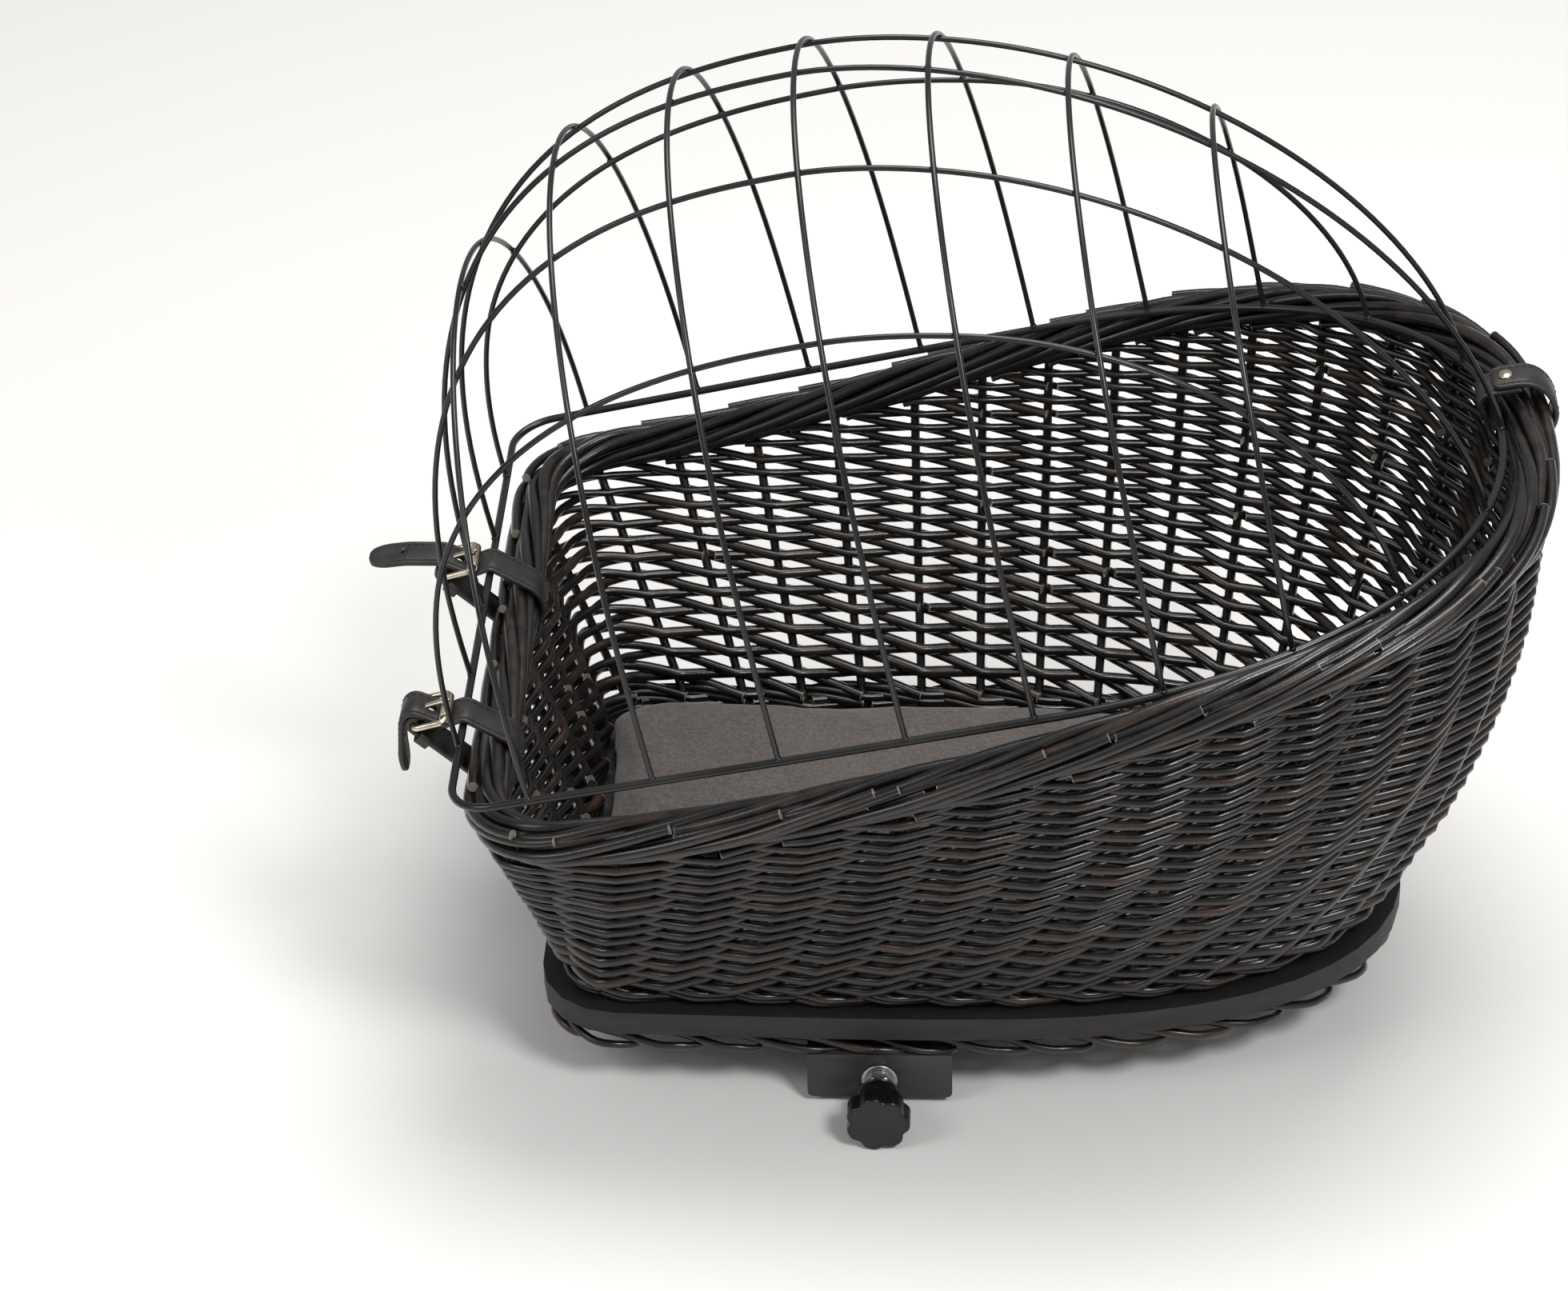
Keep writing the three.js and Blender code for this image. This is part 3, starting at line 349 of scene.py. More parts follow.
@dataclass(frozen=True)
class Plan:
    """Outline seen from above: a straight front, rounded corners, bowed sides and a rounded rear."""

    front: float
    rear: float
    front_half_width: float
    half_width: float
    corner_radius: float
    rear_centre: float
    rear_exponent: float

    def side(self, x: Array | float) -> Array | float:
        """Half width at a place along X."""
        start = self.corner_radius - self.front
        reach = np.maximum(x - self.rear_centre, 0) / (self.rear - self.rear_centre)
        round_rear = self.half_width * power(1 - power(reach, self.rear_exponent), 1 / self.rear_exponent)
        bow = np.sin(np.clip((x - start) / (self.rear_centre - start), 0, 1) * math.pi / 2)
        straight = self.front_half_width + (self.half_width - self.front_half_width) * bow
        corner = np.maximum(start - x, 0) / self.corner_radius
        bowed = straight - self.corner_radius * (1 - np.sqrt(np.maximum(1 - corner * corner, 0)))
        return np.where(x >= self.rear_centre, round_rear, bowed)

    def rear_place(self, y: float) -> float:
        """Where the rounded rear is, along X, at a place across it."""
        share = power(abs(y) / self.half_width, self.rear_exponent)
        return self.rear_centre + (self.rear - self.rear_centre) * float(power(1 - share, 1 / self.rear_exponent))

    def inset(self, distance: float) -> "Plan":
        """The outline moved inwards."""
        return replace(
            self,
            front=self.front - distance,
            rear=self.rear - distance,
            front_half_width=self.front_half_width - distance,
            half_width=self.half_width - distance,
            corner_radius=max(self.corner_radius - distance, 0.3),
        )

    def loop(self, fineness: int = 6) -> Array:
        """Points round the outline, seen from above, from the middle of the front by the left side.

        Args:
            fineness: how many times finer than the coarsest outline.

        Returns:
            Rows of X and Y.
        """
        front, corner, side, rear = (count * fineness for count in (3, 4, 7, 12))
        corner_x = self.corner_radius - self.front
        corner_y = self.front_half_width - self.corner_radius
        half = [(-self.front, corner_y * i / front) for i in range(front)]
        for i in range(corner):
            angle = math.pi / 2 * i / corner
            x = corner_x - self.corner_radius * math.cos(angle)
            half.append((x, corner_y + self.corner_radius * math.sin(angle)))
        for i in range(side):
            x = corner_x + (self.rear_centre - corner_x) * i / side
            half.append((x, float(self.side(x))))
        for i in range(rear):
            angle = math.pi / 2 * i / rear
            reach = float(power(math.sin(angle), 2 / self.rear_exponent))
            y = self.half_width * float(power(math.cos(angle), 2 / self.rear_exponent))
            half.append((self.rear_centre + (self.rear - self.rear_centre) * reach, y))
        left = [(x, -y) for x, y in half]
        return np.array([*left, (self.rear, 0.0), *half[:0:-1]])


def outwards(loop: Array) -> Array:
    """Unit vectors in plan that point out of a loop, one at each of its points."""
    along = np.roll(loop, -1, 0) - np.roll(loop, 1, 0)
    along /= np.linalg.norm(along, axis=1, keepdims=True)
    return np.stack([along[:, 1], -along[:, 0]], 1)


def round_shares(loop: Array) -> Array:
    """Share of the way round a closed loop at each of its points, with a last 1 for the way back."""
    lengths = np.linalg.norm(np.roll(loop, -1, 0) - loop, axis=1)
    return np.concatenate([[0], np.cumsum(lengths)]) / lengths.sum()


def per_mm(size: float) -> float:
    """Texture scale at which a pattern's marks are about that many millimetres across."""
    return 1 / (size * MM)


@dataclass(frozen=True)
class Finish:
    """A surface finish. A subclass says what is painted on it and how deep it is.

    The two colours are sRGB hex codes, relief is the depth of its bump in millimetres, and the rest are
    the shader's own values, the same all over the surface.
    """

    name: str
    slot: Slot
    colour: str
    second: str
    relief: float
    metallic: float = 0.0
    ior: float = 1.5
    coat: float = 0.0
    coat_roughness: float = 0.3
    sheen: float = 0.0

    def paint(self, tree: bpy.types.NodeTree, place: Socket) -> tuple[Socket, Socket, Socket]:
        """Adds the pattern.

        Args:
            tree: the material's node tree.
            place: coordinates on the object, in metres.

        Returns:
            Outputs for colour, roughness and height.
        """
        raise NotImplementedError

    def mixed(self, tree: bpy.types.NodeTree, share: Socket) -> Socket:
        """Colour between the finish's two colours at a share from 0 to 1."""
        ramp = add(tree, "ShaderNodeValToRGB", share)
        ramp.node.color_ramp.elements[0].color = linear(self.colour)
        ramp.node.color_ramp.elements[1].color = linear(self.second)
        return ramp

    def ranged(self, tree: bpy.types.NodeTree, share: Socket, low: float, high: float) -> Socket:
        """A share from 0.3 to 0.7, as most noise has, spread from one value to another."""
        return add(tree, "ShaderNodeMapRange", share, 0.3, 0.7, low, high)

    def make(self) -> bpy.types.Material:
        """The material, made on its first use."""
        known = bpy.data.materials.get(self.name)
        if known:
            return known
        material = bpy.data.materials.new(self.name)
        material.use_nodes = True
        tree = material.node_tree
        shader = tree.nodes["Principled BSDF"]
        place = add(tree, "ShaderNodeTexCoord").node.outputs["Object"]
        colour, roughness, height = self.paint(tree, place)
        bump = add(tree, "ShaderNodeBump", into={"Height": height, "Strength": 1.0, "Distance": self.relief * MM})
        for name, socket in {"Base Color": colour, "Roughness": roughness, "Normal": bump}.items():
            tree.links.new(socket, shader.inputs[name])
        shader.inputs["Metallic"].default_value = self.metallic
        shader.inputs["IOR"].default_value = self.ior
        shader.inputs["Coat Weight"].default_value = self.coat
        shader.inputs["Coat Roughness"].default_value = self.coat_roughness
        shader.inputs["Sheen Weight"].default_value = self.sheen
        material.diffuse_color = linear(self.colour)
        return material


@dataclass(frozen=True)
class StainedWillow(Finish):
    """Peeled willow rods stained black and sprayed with satin lacquer: dark, brown where it is thin, pale at cuts."""

    bark_mark: float = 14.0
    fibre: float = 1.6
    cut: str = "7d766c"

    def paint(self, tree: bpy.types.NodeTree, place: Socket) -> tuple[Socket, Socket, Socket]:
        """Each rod has its own shade, with thin places in the stain and bare wood on its cut ends."""
        shade = add(tree, "ShaderNodeAttribute", attribute_name="rod_shade").node.outputs["Fac"]
        patches = add(tree, "ShaderNodeTexNoise", place, into={"Scale": per_mm(self.bark_mark), "Detail": 3.0})
        fibres = add(tree, "ShaderNodeTexNoise", place, into={"Scale": per_mm(self.fibre), "Detail": 2.0})
        worn = add(tree, MATH, shade, patches, operation="MULTIPLY")
        stained = self.mixed(tree, self.ranged(tree, worn, 0.0, 1.0))
        end = add(tree, "ShaderNodeAttribute", attribute_name="cut_end").node.outputs["Fac"]
        bare = add(tree, "ShaderNodeMapRange", end, 0.93, 0.97, 0.0, 1.0)
        mix = add(tree, "ShaderNodeMix", bare, into={6: stained, 7: linear(self.cut)}, data_type="RGBA")
        roughness = self.ranged(tree, patches, 0.26, 0.42)
        height = add(tree, MATH, patches, 0.7, fibres, operation="MULTIPLY_ADD")
        return mix.node.outputs[2], roughness, height


@dataclass(frozen=True)
class PaintedPlywood(Finish):
    """Sawn plywood under one coat of black paint: matt, with the grain and the rough edge standing through."""

    grain: float = 5.0
    pore: float = 0.8

    def paint(self, tree: bpy.types.NodeTree, place: Socket) -> tuple[Socket, Socket, Socket]:
        """Grain runs along X on the faces, and the sawn edge is greyer because the paint sinks into it."""
        stretched = add(tree, "ShaderNodeMapping", place, into={"Scale": (0.12, 1.0, 1.0)})
        grain = add(tree, "ShaderNodeTexNoise", stretched, into={"Scale": per_mm(self.grain), "Detail": 5.0})
        pores = add(tree, "ShaderNodeTexNoise", place, into={"Scale": per_mm(self.pore), "Detail": 3.0})
        normal = add(tree, "ShaderNodeNewGeometry").node.outputs["True Normal"]
        upright = add(tree, VECTOR_MATH, normal, operation="ABSOLUTE")
        level = add(tree, "ShaderNodeSeparateXYZ", upright).node.outputs["Z"]
        edge = add(tree, "ShaderNodeMapRange", level, 0.2, 0.8, 0.75, 0.15)
        share = add(tree, MATH, edge, grain, operation="MULTIPLY")
        colour = self.mixed(tree, add(tree, MATH, share, 1.4, operation="MULTIPLY"))
        roughness = self.ranged(tree, pores, 0.5, 0.72)
        height = add(tree, MATH, grain, 0.6, pores, operation="MULTIPLY_ADD")
        return colour, roughness, height


@dataclass(frozen=True)
class Suede(Finish):
    """Brushed microfibre suede: matt, clouded where the nap lies in different directions."""

    cloud: float = 28.0
    brushing: float = 7.0
    nap: float = 1.9

    def paint(self, tree: bpy.types.NodeTree, place: Socket) -> tuple[Socket, Socket, Socket]:
        """Clouds from stroking and a fine speckle of fibres, drawn a little coarse so that it shows."""
        clouds = add(tree, "ShaderNodeTexNoise", place, into={"Scale": per_mm(self.cloud), "Detail": 4.0})
        strokes = add(
            tree, "ShaderNodeTexNoise", place, into={"Scale": per_mm(self.brushing), "Detail": 3.0, "Distortion": 0.6}
        )
        nap = add(tree, "ShaderNodeTexNoise", place, into={"Scale": per_mm(self.nap), "Detail": 3.0})
        soft = add(tree, "ShaderNodeMix", 0.45, into={2: clouds, 3: strokes})
        share = add(tree, "ShaderNodeMix", 0.7, into={2: soft, 3: nap})
        colour = self.mixed(tree, self.ranged(tree, share, 0.0, 1.0))
        roughness = self.ranged(tree, nap, 0.86, 1.0)
        return colour, roughness, add(tree, MATH, strokes, 0.5, nap, operation="MULTIPLY_ADD")


@dataclass(frozen=True)
class Leather(Finish):
    """Dyed and pressed cowhide: fine pebbles, a waxy gloss and browner creases."""

    pebble: float = 1.1
    crease: float = 9.0

    def paint(self, tree: bpy.types.NodeTree, place: Socket) -> tuple[Socket, Socket, Socket]:
        """Pebble grain with soft creases over it."""
        pebbles = add(tree, "ShaderNodeTexVoronoi", place, into={"Scale": per_mm(self.pebble)})
        creases = add(tree, "ShaderNodeTexNoise", place, into={"Scale": per_mm(self.crease), "Detail": 5.0})
        colour = self.mixed(tree, self.ranged(tree, creases, 0.0, 1.0))
        roughness = self.ranged(tree, creases, 0.38, 0.56)
        return colour, roughness, add(tree, MATH, creases, 1.2, pebbles, operation="MULTIPLY_ADD")


@dataclass(frozen=True)
class CoatedSteel(Finish):
    """Powder-coated steel: a closed film with the faint waves that a baked coat has."""

    wave: float = 1.8
    gloss: tuple[float, float] = (0.24, 0.34)

    def paint(self, tree: bpy.types.NodeTree, place: Socket) -> tuple[Socket, Socket, Socket]:
        """Waves of the baked film, and a faint difference in shade from handling."""
        waves = add(tree, "ShaderNodeTexNoise", place, into={"Scale": per_mm(self.wave), "Detail": 2.0})
        handling = add(tree, "ShaderNodeTexNoise", place, into={"Scale": per_mm(40 * self.wave), "Detail": 4.0})
        colour = self.mixed(tree, self.ranged(tree, handling, 0.0, 1.0))
        return colour, self.ranged(tree, handling, *self.gloss), waves


@dataclass(frozen=True)
class PlatedMetal(Finish):
    """Plated small parts: bright metal with fine rubbing marks and a plating that is slightly duller in some places.
    """

    rub: float = 0.7
    gloss: tuple[float, float] = (0.2, 0.36)

    def paint(self, tree: bpy.types.NodeTree, place: Socket) -> tuple[Socket, Socket, Socket]:
        """Rubbing marks drawn out along X over a clouded plating."""
        drawn = add(tree, "ShaderNodeMapping", place, into={"Scale": (0.2, 1.0, 1.0)})
        rubbing = add(tree, "ShaderNodeTexNoise", drawn, into={"Scale": per_mm(self.rub), "Detail": 4.0})
        clouds = add(tree, "ShaderNodeTexNoise", place, into={"Scale": per_mm(8 * self.rub), "Detail": 3.0})
        colour = self.mixed(tree, self.ranged(tree, clouds, 0.0, 1.0))
        return colour, self.ranged(tree, clouds, *self.gloss), rubbing


@dataclass(frozen=True)
class MouldedPlastic(Finish):
    """Moulded glass-filled nylon: a hard black with a fine spark-eroded grain."""

    grain: float = 0.45
    gloss: tuple[float, float] = (0.22, 0.32)

    def paint(self, tree: bpy.types.NodeTree, place: Socket) -> tuple[Socket, Socket, Socket]:
        """The mould's grain, and flow marks that change the gloss."""
        grain = add(tree, "ShaderNodeTexNoise", place, into={"Scale": per_mm(self.grain), "Detail": 2.0})
        flow = add(tree, "ShaderNodeTexNoise", place, into={"Scale": per_mm(30 * self.grain), "Detail": 3.0})
        colour = self.mixed(tree, self.ranged(tree, flow, 0.0, 1.0))
        return colour, self.ranged(tree, flow, *self.gloss), grain


WILLOW = StainedWillow(
    "stained_willow", Slot.WILLOW, "0f0c0b", "36281f", 0.12, ior=1.45, coat=0.3, coat_roughness=0.2
)
BOARD = PaintedPlywood("painted_plywood", Slot.BOARD, "0c0c0c", "2e2c2b", 0.25)
SUEDE = Suede("grey_suede", Slot.SUEDE, "3c3734", "645e59", 0.25, sheen=0.15)
LEATHER = Leather("black_leather", Slot.LEATHER, "181615", "2b2725", 0.09, coat=0.1)
THREAD = Leather("waxed_thread", Slot.LEATHER, "1f1d1c", "34302e", 0.04, pebble=0.4)
CAGE_COAT = CoatedSteel("black_powder_coat", Slot.CAGE, "0f0f10", "1c1c1d", 0.012)
CHANNEL_COAT = CoatedSteel(
    "satin_channel_coat", Slot.CHANNEL, "343435", "4a4a4b", 0.015, metallic=0.35, gloss=(0.34, 0.46)
)
NICKEL = PlatedMetal("light_nickel", Slot.NICKEL, "bdb49f", "e2dac6", 0.01, metallic=1.0)
ZINC = PlatedMetal("bright_zinc", Slot.ZINC, "a4a8ab", "c6cacd", 0.012, metallic=1.0, gloss=(0.28, 0.44))
KNOB = MouldedPlastic("knob_nylon", Slot.KNOB, "0c0c0d", "161617", 0.01)
KNOB_FACE = MouldedPlastic("knob_satin_face", Slot.KNOB, "1a1a1b", "262627", 0.02, gloss=(0.45, 0.58))


def piece_of(name: str, form: tuple[Array, list[list[int]]], finish: Finish) -> bpy.types.Object:
    """Makes a piece from a form's points, in millimetres, and its faces."""
    return piece_from(name, mesh_from(name, *form), finish.make())


@dataclass
class RodTree:
    """A node tree that grows rods on a surface which is unrolled in its "place" map.

    The surface's map gives the share of the way round and the share of the way up, and its point
    attributes "out" and "centre" give the way out of it and the middle of what it wraps.
    """

    title: str
    sizes: dict[str, tuple[str, object]]

    def __post_init__(self) -> None:
        """Starts the tree with its inputs, an output and the finish as its last input."""
        self.tree = bpy.data.node_groups.new(self.title, "GeometryNodeTree")
        interface = self.tree.interface
        interface.new_socket("Surface", in_out="INPUT", socket_type="NodeSocketGeometry")
        for name, (kind, value) in self.sizes.items():
            socket = interface.new_socket(name, in_out="INPUT", socket_type="NodeSocket" + kind)
            socket.default_value = value
        interface.new_socket("Finish", in_out="INPUT", socket_type="NodeSocketMaterial")
        interface.new_socket("Geometry", in_out="OUTPUT", socket_type="NodeSocketGeometry")
        start = self.tree.nodes.new("NodeGroupInput")
        self.inputs = start.outputs

    def add(self, kind: str, *values: object, into: dict | None = None, **settings: object) -> Socket | None:
        """Adds one node to this tree; see the function of the same name."""
        return add(self.tree, kind, *values, into=into, **settings)

    def sampled(self, attribute: str, kind: str, around: Socket, up: Socket | float) -> Socket:
        """Reads the surface's attribute at a place in its map.

        Args:
            attribute: the attribute's name, or position.
            kind: FLOAT or FLOAT_VECTOR.
            around: share of the way round.
            up: share of the way up.

        Returns:
            The value there.
        """
        spot = self.add("ShaderNodeCombineXYZ", around, up, 0.0)
        place = self.add("GeometryNodeInputNamedAttribute", "place", data_type="FLOAT_VECTOR")
        if attribute == "position":
            value = self.add("GeometryNodeInputPosition")
        else:
            value = self.add("GeometryNodeInputNamedAttribute", attribute, data_type=kind)
        return self.add("GeometryNodeSampleUVSurface", self.inputs["Surface"], value, place, spot, data_type=kind)

    def rod_of(self, point: Socket, length: Socket) -> Socket:
        """Number of the rod that a point belongs to, with so many points in each rod."""
        middle = self.add(MATH, point, 0.5, operation="ADD")
        share = self.add(MATH, middle, length, operation="DIVIDE")
        return self.add(MATH, share, operation="FLOOR")

    def start_line(self, rods: Socket, length: Socket) -> tuple[Socket, Socket, Socket]:
        """Starts all the rods as one line.

        Args:
            rods: how many rods.
            length: points of each rod.

        Returns:
            The line, and for each of its points the number of its rod and its own number in that rod.
        """
        count = self.add(MATH, rods, length, operation="MULTIPLY")
        line = self.add("GeometryNodeMeshLine", count, into={"Offset": (0.0, 0.0, 0.001)})
        index = self.add("GeometryNodeInputIndex")
        rod = self.rod_of(index, length)
        before = self.add(MATH, rod, length, operation="MULTIPLY")
        return line, rod, self.add(MATH, index, before, operation="SUBTRACT")

    def between_rods(self, length: Socket) -> Socket:
        """Whether an edge of the line joins two rods."""
        ends = self.add("GeometryNodeInputMeshEdgeVertices").node.outputs
        first, second = (self.rod_of(end, length) for end in (ends[0], ends[1]))
        return self.add(MATH, second, first, operation="GREATER_THAN")

    def shake(self, along: Socket, rod: Socket, scale: float) -> Socket:
        """Smooth noise that moves the rods' points a little.

        Args:
            along: place along the rod, in the noise's own measure.
            rod: the rod's place in the noise.
            scale: how fine the noise is.

        Returns:
            The way that each point moves, by as much as the input "Looseness" gives.
        """
        place = self.add("ShaderNodeCombineXYZ", along, rod, self.inputs["Seed"])
        noise = self.add("ShaderNodeTexNoise", place, into={"Scale": scale})
        way = self.add(VECTOR_MATH, noise.node.outputs["Color"], (0.5, 0.5, 0.5), operation="SUBTRACT")
        way = self.add(VECTOR_MATH, way, into={"Scale": self.inputs["Looseness"]}, operation="SCALE")
        return self.add(VECTOR_MATH, way, into={"Scale": 4.0}, operation="SCALE")

    def tapered(self, along: Socket, own: Socket) -> Socket:
        """Radius of a rod that tapers from butt to tip, when no two rods are quite alike."""
        taper = self.add("ShaderNodeMix", along, into={2: self.inputs["Butt Radius"], 3: self.inputs["Tip Radius"]})
        varied = self.add("ShaderNodeMapRange", own, 0.0, 1.0, 0.88, 1.1)
        return self.add(MATH, taper, varied, operation="MULTIPLY")

    def rods(self, lines: Socket, thickness: Callable[[Socket, Socket], Socket], sides: int, seed: Socket) -> None:
        """Gives lines their round section, shade and finish, and ends the tree.

        Args:
            lines: mesh lines, one for each rod.
            thickness: makes a rod's radius from the share along it and a number from 0 to 1 of its own.
            sides: faces round a rod.
            seed: the random seed.
        """
        curves = self.add("GeometryNodeMeshToCurve", lines)
        index = self.add("GeometryNodeInputIndex")
        own = self.add("FunctionNodeRandomValue", into={2: 0.0, 3: 1.0, "ID": index, "Seed": seed}, data_type="FLOAT")
        own = own.node.outputs[1]
        own = self.add("GeometryNodeFieldOnDomain", own, domain="CURVE", data_type="FLOAT")
        curves = self.add("GeometryNodeStoreNamedAttribute", curves, None, "rod_shade", own, domain="POINT")
        ends = self.add("GeometryNodeCurveEndpointSelection", 1, 1)
        curves = self.add("GeometryNodeStoreNamedAttribute", curves, None, "cut_end", ends, domain="POINT")
        along = self.add("GeometryNodeSplineParameter")
        section = self.add("GeometryNodeCurvePrimitiveCircle", sides, into={"Radius": 1.0})
        rods = self.add("GeometryNodeCurveToMesh", curves, section, thickness(along, own), True)
        self.finish(self.add("GeometryNodeSetShadeSmooth", rods))

    def finish(self, geometry: Socket) -> None:
        """Ends the tree: real geometry, the finish and the output."""
        real = self.add("GeometryNodeRealizeInstances", geometry)
        coated = self.add("GeometryNodeSetMaterial", real, None, self.inputs["Finish"])
        self.add("NodeGroupOutput", coated)

    def grow(self, name: str, surface: bpy.types.Mesh, finish: Finish, **sizes: object) -> bpy.types.Object:
        """Runs the tree on a surface.

        Args:
            name: name of the new piece.
            surface: mesh that it grows on.
            finish: the finish it gets.
            sizes: the tree's inputs, with underscores for spaces; what isn't given keeps its first value.

        Returns:
            The piece, a plain mesh.
        """
        source = piece_from(name + "_source", surface)
        modifier = source.modifiers.new("growth", "NODES")
        modifier.node_group = self.tree
        values = {key.replace("_", " "): value for key, value in sizes.items()} | {"Finish": finish.make()}
        for item in self.tree.interface.items_tree:
            if item.in_out == "INPUT" and item.name in values:
                modifier[item.identifier] = values.pop(item.name)
        assert not values, f"{self.title} has no input named {', '.join(values)}"
        mesh = baked(source)
        source.modifiers.remove(modifier)
        bpy.data.objects.remove(source)
        mesh.name = name
        return piece_from(name, mesh)


def surface_mesh(name: str, grid: Array, vectors: dict[str, Array], numbers: dict[str, Array]) -> bpy.types.Mesh:
    """Makes a surface that rods can grow on.

    Args:
        name: the mesh's name.
        grid: points in millimetres by column round, row up and X, Y, Z; the last column repeats the first.
        vectors: point attributes with X, Y, Z, laid out as the grid; "centre" is in millimetres.
        numbers: point attributes with one number, laid out as the grid.

    Returns:
        The mesh with its "place" map and attributes, in metres.
    """
    columns, rows = grid.shape[:2]
    faces = [
        [i * rows + j, (i + 1) * rows + j, (i + 1) * rows + j + 1, i * rows + j + 1]
        for i in range(columns - 1)
        for j in range(rows - 1)
    ]
    mesh = mesh_from(name, grid.reshape(-1, 3), faces)
    around = np.repeat(numbers.pop("around"), rows)
    up = np.tile(np.linspace(0, 1, rows), columns)
    place = mesh.uv_layers.new(name="place")
    corners = np.zeros(len(mesh.loops), np.int32)
    mesh.loops.foreach_get("vertex_index", corners)
    place.uv.foreach_set("vector", np.stack([around[corners], up[corners]], 1).astype(np.float32).ravel())
    for key, values in vectors.items():
        scale = MM if key == "centre" else 1.0
        attribute = mesh.attributes.new(key, "FLOAT_VECTOR", "POINT")
        attribute.data.foreach_set("vector", (values.reshape(-1, 3) * scale).astype(np.float32).ravel())
    for key, values in numbers.items():
        attribute = mesh.attributes.new(key, "FLOAT", "POINT")
        attribute.data.foreach_set("value", values.astype(np.float32).ravel())
    return mesh


